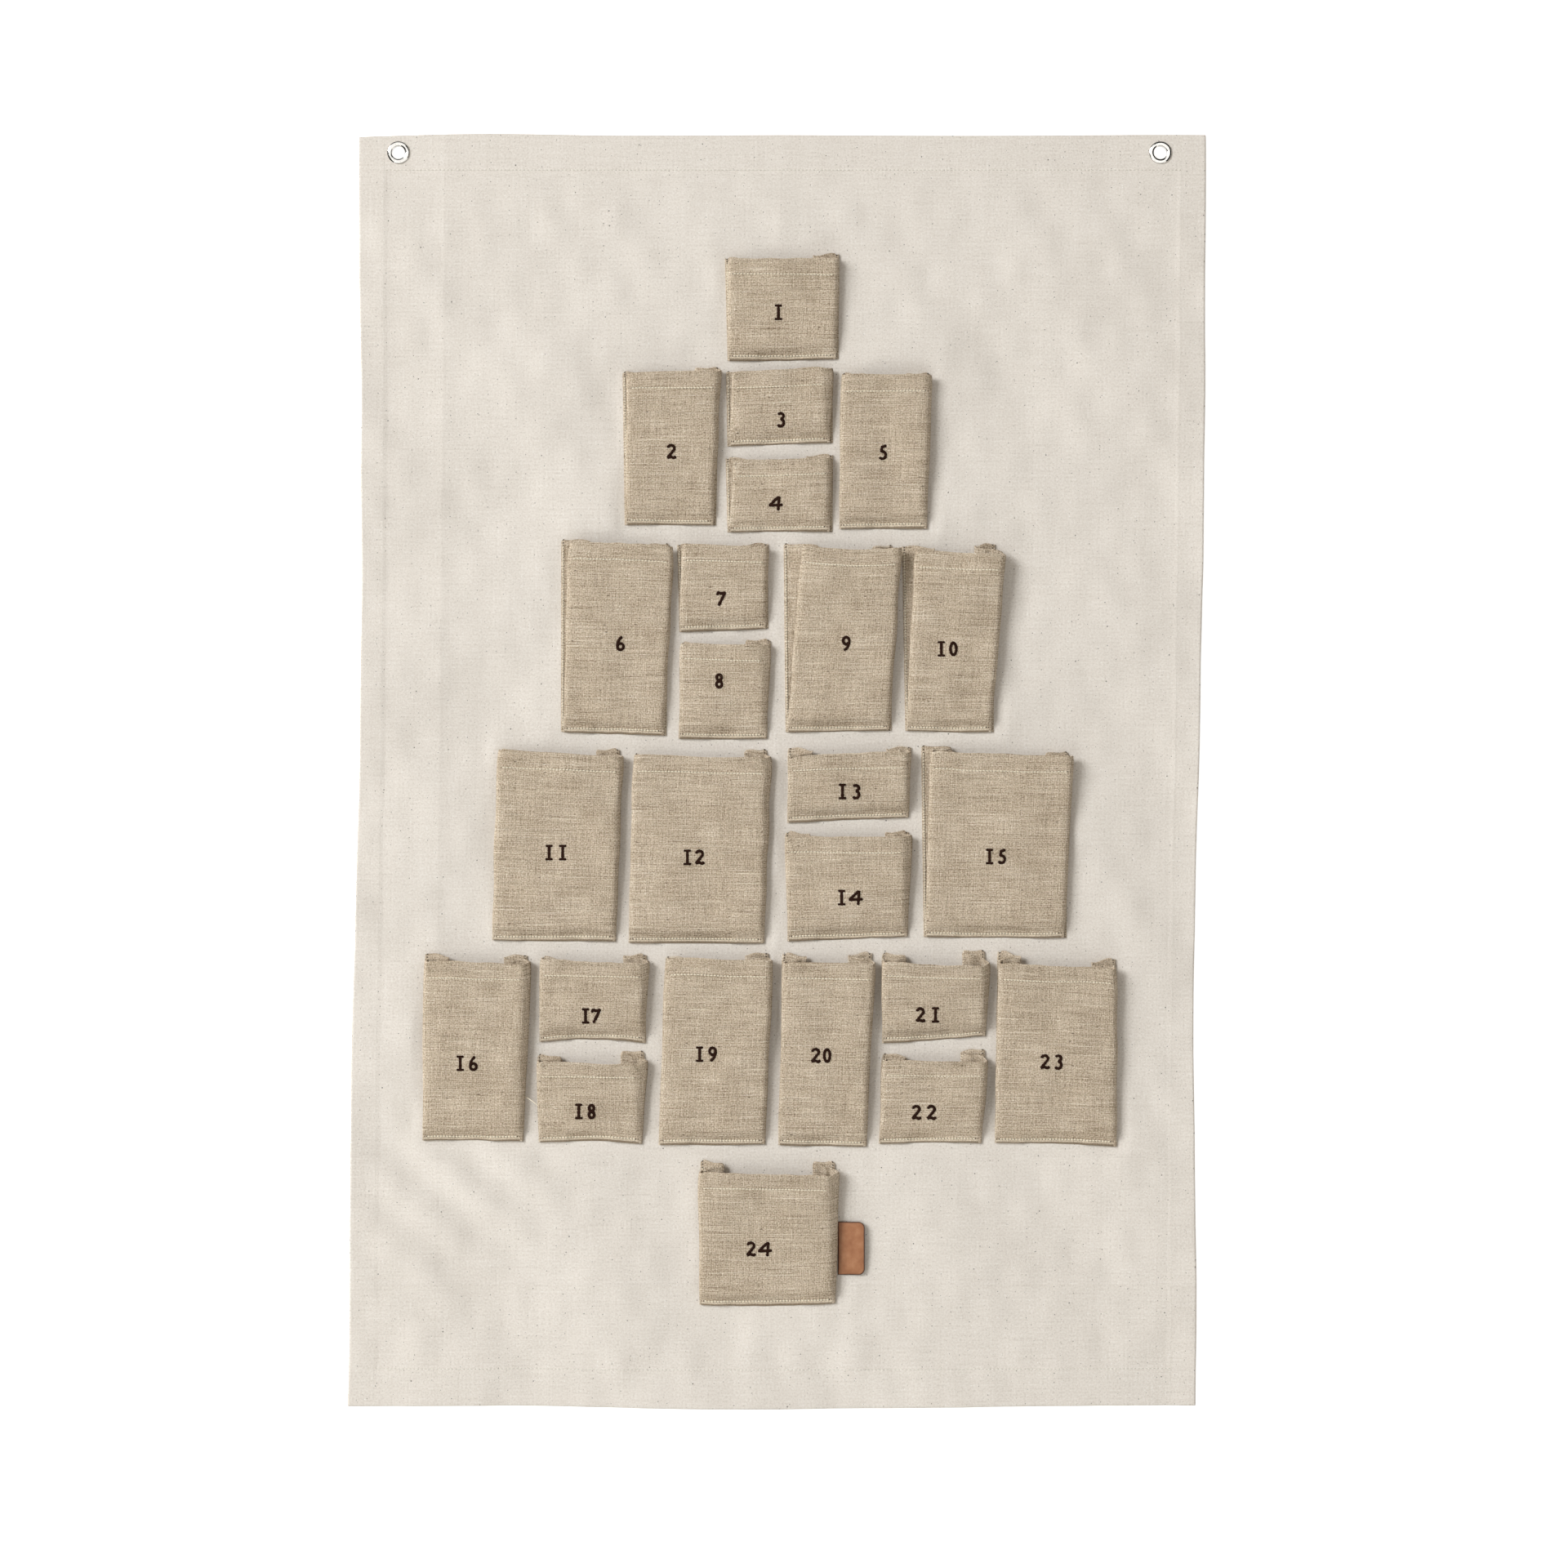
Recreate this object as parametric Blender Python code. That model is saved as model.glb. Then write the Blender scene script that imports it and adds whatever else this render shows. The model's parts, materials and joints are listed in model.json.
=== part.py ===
"""Advent calendar: a hemmed canvas wall hanging with 24 folded linen pockets, sewn on as a tree of six rows.

Frame: metres, +Z up. The front faces -Y and +X is to the viewer's right. The origin is midway between the two
eyelets, in the plane of the canvas back. On the canvas, "across" is measured from the left edge and "down" from
the top edge. On a pocket, "depth" is measured from the canvas face towards the viewer.
"""
import math
from collections import namedtuple

import bmesh
import bpy
from mathutils import Matrix, Vector

# Canvas panel
canvas_width = 0.600
canvas_height = 0.900
canvas_cloth = 0.0007
top_hem = 0.025
bottom_hem = 0.027
side_hem = 0.0195
hem_step_run = 0.0004
hem_stitch_inset = 0.002
sheet_step = 0.052

# How the canvas hangs: sideways drift at the bottom, edges drawn in by the sewing, and its small curls
hang_drift = -0.008
left_draw = 0.0045
right_draw = 0.0035
bottom_dip = 0.0025
side_border = 0.045
bottom_border = 0.062
side_curl = 0.0010
bottom_ripple = 0.0014
ripple_length = 0.240
curl_fade_share = 0.17
curl_steady_share = 0.6
ripple_steady_share = 0.5
left_draw_share = (0.40, 0.42)
right_draw_share = (0.66, 0.34)
bottom_dip_share = (0.5, 0.3)

# Sewing thread of the canvas hems
thread_width = 0.0006
thread_height = 0.0004
thread_clear = 0.0003

# Eyelets and their washers
eyelet_left_inset = 0.0275
eyelet_right_inset = 0.0325
eyelet_spacing = canvas_width - eyelet_left_inset - eyelet_right_inset
eyelet_drop = 0.012
eyelet_hole_radius = 0.0046
eyelet_wall = 0.0004
eyelet_flange_width = 0.0030
eyelet_flange_height = 0.0015
eyelet_clear = 0.0003
eyelet_roll_width = 0.0013
eyelet_roll_height = 0.0006
washer_width = 0.0026
washer_thickness = 0.0006
eyelet_sides = 16
eyelet_sharp_degrees = 50

# Linen pockets: widths across the bottom seam, and heights of the cut cloth
width_01 = 0.0776
width_02 = 0.0654
width_03 = 0.0712
width_04 = 0.0747
width_05 = 0.0637
width_06 = 0.0753
width_07 = 0.0625
width_08 = 0.0648
width_09 = 0.0747
width_10 = 0.0631
width_11 = 0.0880
width_12 = 0.0978
width_13 = 0.0874
width_14 = 0.0868
width_15 = 0.0996
width_16 = 0.0730
width_17 = 0.0764
width_18 = 0.0747
width_19 = 0.0758
width_20 = 0.0637
width_21 = 0.0741
width_22 = 0.0735
width_23 = 0.0874
width_24 = 0.0978
height_01 = 0.0750
height_02 = 0.1117
height_03 = 0.0530
height_04 = 0.0533
height_05 = 0.1108
height_06 = 0.1375
height_07 = 0.0625
height_08 = 0.0700
height_09 = 0.1320
height_10 = 0.1314
height_11 = 0.1360
height_12 = 0.1372
height_13 = 0.0510
height_14 = 0.0758
height_15 = 0.1326
height_16 = 0.1320
height_17 = 0.0620
height_18 = 0.0630
height_19 = 0.1350
height_20 = 0.1360
height_21 = 0.0625
height_22 = 0.0643
height_23 = 0.1343
height_24 = 0.1002

# Where the pockets are sewn: rows from the top, each centred on the canvas and offset as sewn
first_row_drop = 0.0848
gap_below_row_1 = 0.0046
gap_below_row_2 = 0.0064
gap_below_row_3 = 0.0069
gap_below_row_4 = 0.0064
gap_below_row_5 = 0.0116
offset_row_1 = 0.0011
offset_row_2 = -0.0013
offset_row_3 = 0.0001
offset_row_4 = 0.0030
offset_row_5 = -0.0021
offset_row_6 = -0.0020
gap_right_of_02 = 0.0069
gap_right_of_04 = 0.0046
gap_right_of_06 = 0.0081
gap_right_of_08 = 0.0116
gap_right_of_09 = 0.0093
gap_right_of_11 = 0.0075
gap_right_of_12 = 0.0145
gap_right_of_14 = 0.0104
gap_right_of_16 = 0.0104
gap_right_of_18 = 0.0075
gap_right_of_19 = 0.0093
gap_right_of_20 = 0.0087
gap_right_of_22 = 0.0058
gap_below_03 = 0.0093
gap_below_07 = 0.0058
gap_below_13 = 0.0081
gap_below_17 = 0.0087
gap_below_21 = 0.0081
sewing_wander = 0.005

# How a pocket is folded from its strip of linen
linen_cloth = 0.0005
linen_clear = 0.0003
pocket_hem = 0.013
pocket_hem_run = 0.0004
flange_width = 0.003
pleat_depth = 0.0165
fold_ease = 0.00015
seam_height = 0.003
seam_overlap = 0.0015
seam_margin = 0.0001
seam_press = 0.0006
belly_height = 0.009
mouth_depth = 0.010
belly_share = 0.62

# Embroidered numerals
numeral_height = 0.0116
numeral_pitch = 0.0094
numeral_stroke = 0.0019
numeral_thickness = 0.0006
numeral_clear = 0.0003
numeral_layer_step = 0.00004
jump_thread_width = 0.0005

# Leather tab
tab_length = 0.0174
tab_height = 0.0377
tab_thickness = 0.0012
tab_corner = 0.003
tab_clear = 0.0006
tab_lift_share = 0.06
tab_up_share = 0.394
tab_corner_steps = 5

# One pocket: its leans, drop and lift are shares of its height and of sewing_wander, its gape of mouth_depth
Pocket = namedtuple(
    "Pocket", "width height left_lean right_lean drop gape lift number_across number_up"
)
POCKET_SHARES = {
    1: (-0.007, 0.013, 0.031, 0.85, 0.00, 0.464, 0.454),
    2: (-0.009, 0.018, 0.030, 0.90, 1.00, 0.493, 0.457),
    3: (-0.028, 0.019, 0.010, 0.85, 0.00, 0.511, 0.330),
    4: (0.009, -0.009, 0.037, 0.80, 0.00, 0.461, 0.376),
    5: (0.014, 0.014, 0.005, 0.95, 0.45, 0.482, 0.482),
    6: (-0.007, 0.029, 0.005, 0.85, 0.45, 0.561, 0.456),
    7: (0.016, 0.027, 0.027, 0.90, 0.00, 0.460, 0.360),
    8: (0.007, 0.014, 0.040, 0.85, 0.00, 0.442, 0.556),
    9: (0.061, 0.053, 0.017, 1.10, 1.00, 0.562, 0.459),
    10: (0.049, 0.061, 0.018, 1.10, 0.90, 0.481, 0.438),
    11: (0.022, 0.026, 0.017, 0.95, 0.35, 0.498, 0.448),
    12: (0.022, 0.029, 0.021, 1.00, 0.00, 0.478, 0.429),
    13: (0.010, 0.000, 0.078, 1.10, 0.00, 0.505, 0.381),
    14: (-0.007, 0.040, 0.037, 1.00, 0.70, 0.517, 0.374),
    15: (-0.004, 0.034, 0.017, 1.00, 0.80, 0.505, 0.425),
    16: (0.008, 0.034, 0.039, 1.00, 0.80, 0.421, 0.408),
    17: (0.008, 0.048, 0.076, 1.00, 0.00, 0.461, 0.278),
    18: (0.000, 0.056, 0.090, 1.00, 0.45, 0.444, 0.333),
    19: (0.030, 0.030, 0.018, 1.00, 0.10, 0.435, 0.469),
    20: (0.012, 0.022, 0.037, 1.00, 0.00, 0.456, 0.458),
    21: (0.008, 0.072, 0.091, 1.10, 0.00, 0.424, 0.273),
    22: (0.047, 0.047, 0.073, 1.00, 0.45, 0.422, 0.315),
    23: (0.017, 0.000, 0.060, 1.05, 0.25, 0.454, 0.427),
    24: (-0.017, 0.040, 0.064, 1.15, 0.00, 0.423, 0.376),
}
POCKET_SIZES = {
    1: (width_01, height_01),
    2: (width_02, height_02),
    3: (width_03, height_03),
    4: (width_04, height_04),
    5: (width_05, height_05),
    6: (width_06, height_06),
    7: (width_07, height_07),
    8: (width_08, height_08),
    9: (width_09, height_09),
    10: (width_10, height_10),
    11: (width_11, height_11),
    12: (width_12, height_12),
    13: (width_13, height_13),
    14: (width_14, height_14),
    15: (width_15, height_15),
    16: (width_16, height_16),
    17: (width_17, height_17),
    18: (width_18, height_18),
    19: (width_19, height_19),
    20: (width_20, height_20),
    21: (width_21, height_21),
    22: (width_22, height_22),
    23: (width_23, height_23),
    24: (width_24, height_24),
}
POCKETS = {n: Pocket(*POCKET_SIZES[n], *POCKET_SHARES[n]) for n in POCKET_SIZES}

# The tree, row by row: a column holds one pocket or a stack of two, named from the top
ROWS = (
    ((1,),),
    ((2,), (3, 4), (5,)),
    ((6,), (7, 8), (9,), (10,)),
    ((11,), (12,), (13, 14), (15,)),
    ((16,), (17, 18), (19,), (20,), (21, 22), (23,)),
    ((24,),),
)
ROW_OFFSETS = (offset_row_1, offset_row_2, offset_row_3, offset_row_4, offset_row_5, offset_row_6)
ROW_GAPS = (gap_below_row_1, gap_below_row_2, gap_below_row_3, gap_below_row_4, gap_below_row_5)
RIGHT_GAPS = {
    2: gap_right_of_02,
    4: gap_right_of_04,
    6: gap_right_of_06,
    8: gap_right_of_08,
    9: gap_right_of_09,
    11: gap_right_of_11,
    12: gap_right_of_12,
    14: gap_right_of_14,
    16: gap_right_of_16,
    18: gap_right_of_18,
    19: gap_right_of_19,
    20: gap_right_of_20,
    22: gap_right_of_22,
}
STACK_GAPS = {
    3: gap_below_03,
    7: gap_below_07,
    13: gap_below_13,
    17: gap_below_17,
    21: gap_below_21,
}

canvas_face = 2 * canvas_cloth
sharpest_mitre_share = 0.5


# Small helpers


def material(name, colour, roughness, metallic=0.0):
    """A Principled material in one colour."""
    made = bpy.data.materials.new(name)
    made.use_nodes = True
    shader = made.node_tree.nodes["Principled BSDF"]
    shader.inputs["Base Color"].default_value = (*colour, 1.0)
    shader.inputs["Roughness"].default_value = roughness
    shader.inputs["Metallic"].default_value = metallic
    return made


def add_object(name, mesh, finish, location=(0, 0, 0), parent=None):
    """Links a mesh as a named object, placed in world space."""
    made = bpy.data.objects.new(name, mesh)
    made.data.materials.append(finish)
    bpy.context.scene.collection.objects.link(made)
    made.location = Vector(location) - (parent.location if parent else Vector())
    made.parent = parent
    return made


def closed_mesh(bm, name):
    """Turns a bmesh into a mesh whose faces all point outwards."""
    bmesh.ops.recalc_face_normals(bm, faces=bm.faces)
    mesh = bpy.data.meshes.new(name)
    bm.to_mesh(mesh)
    bm.free()
    return mesh


def add_box(bm, low, high):
    """Adds a box between two corners."""
    made = bmesh.ops.create_cube(bm, size=1.0)["verts"]
    low, high = Vector(low), Vector(high)
    for vert in made:
        share = vert.co + Vector((0.5, 0.5, 0.5))
        vert.co = Vector(a + (b - a) * s for a, b, s in zip(low, high, share))


def loft(bm, rings, loop=False, folded=False):
    """Joins closed rings of points into a solid. Both ends are filled unless the rings form a loop.

    A folded ring is one side of a cloth and back along the other. Its faces are split in two so that both sides
    bend along the same line, and a twisted wall keeps its thickness.
    """
    levels = [[bm.verts.new(point) for point in ring] for ring in rings]
    pairs = list(zip(levels, levels[1:]))
    if loop:
        pairs.append((levels[-1], levels[0]))
    for lower, upper in pairs:
        for index in range(len(lower)):
            after = (index + 1) % len(lower)
            if not folded:
                bm.faces.new((lower[index], lower[after], upper[after], upper[index]))
            elif index < len(lower) // 2:
                bm.faces.new((lower[index], lower[after], upper[after]))
                bm.faces.new((lower[index], upper[after], upper[index]))
            else:
                bm.faces.new((lower[index], lower[after], upper[index]))
                bm.faces.new((lower[after], upper[after], upper[index]))
    if not loop:
        for level in (levels[0], levels[-1]):
            half = len(level) // 2
            for index in range(half - 1):
                bm.faces.new((level[index], level[index + 1], level[-index - 2], level[-index - 1]))


def union(name, solids):
    """One mesh from solids that overlap, each a mesh of its own."""
    parts = []
    for solid in solids:
        part = bpy.data.objects.new(name, solid)
        bpy.context.scene.collection.objects.link(part)
        parts.append(part)
    for other in parts[1:]:
        join = parts[0].modifiers.new("join", "BOOLEAN")
        join.operation = "UNION"
        join.object = other
    seen = parts[0].evaluated_get(bpy.context.evaluated_depsgraph_get())
    mesh = bpy.data.meshes.new_from_object(seen)
    mesh.name = name
    for part in parts:
        bpy.data.objects.remove(part)
    return mesh


def offset_line(points, outer, inner, closed=False):
    """The two sides of a ribbon along a line, mitred at its corners: outer to the left, inner to the right."""
    sides = ([], [])
    count = len(points)
    for index, (x, y) in enumerate(points):
        before = points[index - 1] if index or closed else points[index]
        after = points[(index + 1) % count] if index < count - 1 or closed else points[index]
        into = Vector((x - before[0], y - before[1]))
        out = Vector((after[0] - x, after[1] - y))
        into = into.normalized() if into.length else out.normalized()
        out = out.normalized() if out.length else into
        along = (into + out).normalized()
        normal = Vector((-along.y, along.x)) / max(along.dot(into), sharpest_mitre_share)
        sides[0].append((x + normal.x * outer, y + normal.y * outer))
        sides[1].append((x - normal.x * inner, y - normal.y * inner))
    return sides


def smooth(share):
    """Eases from 0 to 1."""
    share = min(1.0, max(0.0, share))
    return share * share * (3 - 2 * share)


def hump(share, middle_and_reach):
    """A smooth hill of height 1 at its middle that falls to nothing its reach away."""
    middle, reach = middle_and_reach
    return smooth(1 - abs(share - middle) / reach)


# Canvas


def edge_share(across):
    """1 at a side edge of the canvas, falling to 0 where the pockets may begin."""
    return max(0.0, 1 - min(across, canvas_width - across) / side_border)


def foot_share(down):
    """1 at the bottom edge of the canvas, falling to 0 below the last pocket."""
    return max(0.0, 1 - (canvas_height - down) / bottom_border)


def stand_off(across, down):
    """How far the canvas curls and ripples off the wall. It is flat behind the pockets and at the eyelets."""
    fade = smooth((down - top_hem) / (canvas_height * curl_fade_share))
    curl = side_curl * edge_share(across) ** 2 * fade
    curl *= curl_steady_share + (1 - curl_steady_share) * math.cos(math.tau * down / ripple_length)
    ripple = bottom_ripple * foot_share(down) ** 2
    ripple *= ripple_steady_share + (1 - ripple_steady_share) * math.cos(math.tau * across / ripple_length)
    return curl + ripple


def sheet_point(across, down, depth):
    """World place of a point of the canvas, depth away from the plane of its back."""
    if across < canvas_width / 2:
        draw_in = left_draw * hump(down / canvas_height, left_draw_share)
    else:
        draw_in = -right_draw * hump(down / canvas_height, right_draw_share)
    x = across - eyelet_left_inset - eyelet_spacing / 2
    x += hang_drift * (down - eyelet_drop) / canvas_height + draw_in * edge_share(across) ** 2
    z = eyelet_drop - down - bottom_dip * foot_share(down) ** 2 * hump(across / canvas_width, bottom_dip_share)
    return Vector((x, -depth - stand_off(across, down), z))


def spaced(start, stop):
    """Places from start to stop, no further apart than sheet_step."""
    count = math.ceil((stop - start) / sheet_step)
    return [start + (stop - start) * index / count for index in range(count + 1)]


def across_lines():
    """The canvas grid's lines across: hems, stitch lines and borders at both sides, even steps between."""
    side = [0.0, side_hem - hem_stitch_inset, side_hem, side_hem + hem_step_run]
    middle = spaced(side_border, canvas_width - side_border)
    return side + middle + [canvas_width - place for place in reversed(side)]


def down_lines():
    """The canvas grid's lines down: top hem, even steps, and closer ones in the border below the pockets."""
    top = [0.0, top_hem - hem_stitch_inset, top_hem, top_hem + hem_step_run]
    foot = canvas_height - bottom_hem
    middle = spaced(top_hem + sheet_step / 2, canvas_height - bottom_border)
    lower = [canvas_height - (bottom_border + bottom_hem) / 2, foot - hem_step_run, foot]
    return top + middle + lower + [foot + hem_stitch_inset, canvas_height - bottom_hem / 2, canvas_height]


def in_hem(across, down):
    """True where the canvas is folded double behind."""
    beside = min(across, canvas_width - across) <= side_hem
    return beside or down <= top_hem or down >= canvas_height - bottom_hem


def build_canvas(finish):
    """The hemmed sheet: front and back grids joined round the rim, with a hole for each eyelet."""
    bm = bmesh.new()
    columns, rows = across_lines(), down_lines()
    front = [[bm.verts.new(sheet_point(a, d, canvas_face)) for a in columns] for d in rows]
    back = [
        [bm.verts.new(sheet_point(a, d, 0 if in_hem(a, d) else canvas_cloth)) for a in columns] for d in rows
    ]
    for grid in (front, back):
        for above, below in zip(grid, grid[1:]):
            for index in range(len(columns) - 1):
                bm.faces.new((above[index], above[index + 1], below[index + 1], below[index]))
    for one, other in ((front[0], back[0]), (front[-1], back[-1])):
        for index in range(len(columns) - 1):
            bm.faces.new((one[index], one[index + 1], other[index + 1], other[index]))
    for side in (0, -1):
        for index in range(len(rows) - 1):
            one, other = front[index], front[index + 1]
            bm.faces.new((one[side], other[side], back[index + 1][side], back[index][side]))
    canvas = add_object("canvas_panel", closed_mesh(bm, "canvas_panel"), finish)
    for name, side in (("left", -1), ("right", 1)):
        cutter = eyelet_cutter(f"cut_{name}_eyelet_hole", side * eyelet_spacing / 2)
        hole = canvas.modifiers.new("eyelet_hole", "BOOLEAN")
        hole.operation = "DIFFERENCE"
        hole.object = cutter
    return canvas


def eyelet_cutter(name, x):
    """The round hole that an eyelet's barrel passes through, as a hidden cutter."""
    bm = bmesh.new()
    radius = eyelet_hole_radius + eyelet_wall + eyelet_clear
    bmesh.ops.create_cone(
        bm,
        cap_ends=True,
        segments=eyelet_sides,
        radius1=radius,
        radius2=radius,
        depth=4 * canvas_face,
        matrix=Matrix.Rotation(math.pi / 2, 4, "X"),
    )
    cutter = bpy.data.objects.new(name, closed_mesh(bm, name))
    bpy.context.scene.collection.objects.link(cutter)
    cutter.location = (x, -canvas_face / 2, 0)
    cutter.hide_render = True
    cutter.display_type = "WIRE"
    return cutter


def build_hem_thread(name, places, finish):
    """The row of sewing that holds a hem: a flat thread on the canvas face through places (across, down)."""
    bm = bmesh.new()
    upright = places[0][0] == places[-1][0]
    near = canvas_face + thread_clear
    rings = []
    for across, down in places:
        ring = []
        for side, depth in ((-1, near), (1, near), (1, near + thread_height), (-1, near + thread_height)):
            point = sheet_point(across, down, depth)
            point += side * thread_width / 2 * (Vector((1, 0, 0)) if upright else Vector((0, 0, 1)))
            ring.append(point)
        rings.append(ring)
    loft(bm, rings)
    add_object(name, closed_mesh(bm, name), finish)


def build_hem_threads(finish):
    """The four hems' stitch lines, which end where they meet the side rows."""
    left = side_hem - hem_stitch_inset
    right = canvas_width - left
    across = [place for place in across_lines() if left < place < right]
    upper = top_hem - hem_stitch_inset
    lower = canvas_height - bottom_hem + hem_stitch_inset
    build_hem_thread("hem_thread_top", [(place, upper) for place in across], finish)
    build_hem_thread("hem_thread_bottom", [(place, lower) for place in across], finish)
    build_hem_thread("hem_thread_left", [(left, place) for place in down_lines()], finish)
    build_hem_thread("hem_thread_right", [(right, place) for place in down_lines()], finish)


# Eyelets


def build_turned(name, profile, x, finish):
    """Turns a closed profile of (radius, y) round the axis of an eyelet."""
    bm = bmesh.new()
    rings = []
    for index in range(eyelet_sides):
        angle = math.tau * index / eyelet_sides
        rings.append([Vector((r * math.cos(angle), y, r * math.sin(angle))) for r, y in profile])
    loft(bm, rings, loop=True)
    mesh = closed_mesh(bm, name)
    mesh.shade_smooth()
    mesh.set_sharp_from_angle(angle=math.radians(eyelet_sharp_degrees))
    add_object(name, mesh, finish, (x, 0, 0))


def build_eyelets(finish):
    """Each eyelet's face flange, barrel and rolled end in one, and the washer behind the canvas."""
    inner = eyelet_hole_radius
    outer = inner + eyelet_wall
    front = -canvas_face - eyelet_clear
    tip = front - eyelet_flange_height
    rim = outer + eyelet_flange_width
    roll = 2 * eyelet_clear + washer_thickness
    back = roll + eyelet_roll_height
    eyelet = (
        (inner, back - eyelet_roll_height / 3),
        (inner, tip + eyelet_flange_height / 3),
        (inner + eyelet_flange_width / 4, tip),
        (rim - eyelet_flange_width / 3, tip),
        (rim, tip + eyelet_flange_height / 2),
        (rim, front),
        (outer, front),
        (outer, roll),
        (outer + eyelet_roll_width, roll),
        (outer + eyelet_roll_width / 2, back),
    )
    bore = outer + eyelet_clear
    washer = (
        (bore, eyelet_clear),
        (bore + washer_width, eyelet_clear),
        (bore + washer_width, eyelet_clear + washer_thickness / 2),
        (bore + washer_width - washer_thickness / 2, eyelet_clear + washer_thickness),
        (bore, eyelet_clear + washer_thickness),
    )
    for side, place in (("left", -1), ("right", 1)):
        x = place * eyelet_spacing / 2
        build_turned(f"eyelet_{side}", eyelet, x, finish)
        build_turned(f"eyelet_washer_{side}", washer, x, finish)


# Pocket layout


def stack_height(column):
    """Height of a column of pockets above the row's bottom line."""
    heights = sum(POCKETS[n].height for n in column) + sum(STACK_GAPS[n] for n in column[:-1])
    return heights + POCKETS[column[-1]].lift * sewing_wander


def lay_out():
    """Each pocket's left bottom corner on the canvas, as (across, down)."""
    places = {}
    top = first_row_drop
    for index, columns in enumerate(ROWS):
        bottom = top + max(stack_height(column) for column in columns)
        widths = [max(POCKETS[n].width for n in column) for column in columns]
        gaps = [RIGHT_GAPS[column[-1]] for column in columns[:-1]]
        left = canvas_width / 2 + ROW_OFFSETS[index] - (sum(widths) + sum(gaps)) / 2
        for column, width, gap in zip(columns, widths, gaps + [0.0]):
            down = bottom - POCKETS[column[-1]].lift * sewing_wander
            for number in reversed(column):
                places[number] = (left + (width - POCKETS[number].width) / 2, down)
                down -= POCKETS[number].height + STACK_GAPS.get(column[0], 0.0)
            left += width + gap
        top = bottom + (ROW_GAPS[index] if index < len(ROW_GAPS) else 0.0)
    return places


# Pocket


def front_depth(pocket, level):
    """Depth of the middle of the front panel's cloth at a height above the bottom edge."""
    seam = linen_clear + linen_cloth / 2 + 2 * (linen_cloth + fold_ease)
    mouth = mouth_depth * pocket.gape
    belly = mouth * belly_share
    pressed = seam_height + seam_press
    if level <= belly_height:
        return seam + (belly - seam) * max(0.0, (level - pressed) / (belly_height - pressed))
    share = (level - belly_height) / (pocket.height - belly_height)
    return belly + (mouth - belly) * share


def front_height(pocket, level):
    """Height of the front panel at a level of the cloth: the mouth hangs lower in front than at the canvas."""
    share = level / pocket.height
    return level - pocket.drop * pocket.height * share * share


def half_section(pocket, level, lean, hem):
    """The left half of a pocket's section, from the sewn flange round the pleat to the front panel's edge."""
    radius = (linen_cloth + fold_ease) / 2
    edge_radius = radius + hem
    face = front_depth(pocket, level)
    flange = linen_clear + linen_cloth / 2 + hem
    middle = flange + radius + (face - flange - 2 * radius - 2 * edge_radius) / 2
    edge = lean * level
    pleat = pleat_depth + edge / 2
    points = [(0.0, flange), (flange_width, flange)]
    points += [(pleat, middle - radius), (pleat, middle + radius)]
    for degrees in (270, 180, 90):
        turn = math.radians(degrees)
        points.append(
            (
                edge + edge_radius + edge_radius * math.cos(turn),
                face - edge_radius + edge_radius * math.sin(turn),
            )
        )
    return points


def pocket_ring(pocket, level, hem):
    """The closed ring of a pocket's folded cloth at one level, as local points."""
    left = half_section(pocket, level, pocket.left_lean, hem)
    right = half_section(pocket, level, -pocket.right_lean, hem)
    line = left + [(pocket.width - x, depth) for x, depth in reversed(right)]
    outer, inner = offset_line(line, linen_cloth / 2, linen_cloth / 2 + hem)
    face = front_depth(pocket, level)
    drop = level - front_height(pocket, level)
    ring = []
    for x, depth in outer + inner[::-1]:
        ring.append(Vector((x - pocket.width / 2, -depth, level - drop * min(1.0, depth / face))))
    return ring


def pocket_mesh(name, pocket):
    """Folded cloth with its doubled hem, closed along the bottom by the seam's pressed layers."""
    hem_line = pocket.height - pocket_hem
    plain = (seam_overlap, seam_height + seam_press, belly_height, hem_line - pocket_hem_run)
    rings = [pocket_ring(pocket, level, 0.0) for level in plain]
    rings += [pocket_ring(pocket, level, linen_cloth) for level in (hem_line, pocket.height)]
    cloth = bmesh.new()
    loft(cloth, rings, folded=True)
    seam = bmesh.new()
    half = pocket.width / 2 + seam_margin
    thick = front_depth(pocket, seam_overlap) + linen_cloth / 2 + seam_margin
    add_box(seam, (-half, -thick, 0), (half, -linen_clear, seam_height))
    return union(name, (closed_mesh(seam, name), closed_mesh(cloth, name)))


# Numerals: each is a set of strokes in shares of its height, from its left bottom corner


def arc(across, up, reach, rise, start, stop, steps):
    """Points of an elliptic arc between two angles in degrees."""
    turns = [math.radians(start + (stop - start) * index / steps) for index in range(steps + 1)]
    return [(across + reach * math.cos(turn), up + rise * math.sin(turn)) for turn in turns]


def ring_stroke(across, up, reach, rise, steps=12):
    """A closed stroke round an ellipse."""
    return arc(across, up, reach, rise, 0, 360, steps)[:-1], True


def open_stroke(*runs):
    """An open stroke through runs of points."""
    return [point for run in runs for point in run], False


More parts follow.
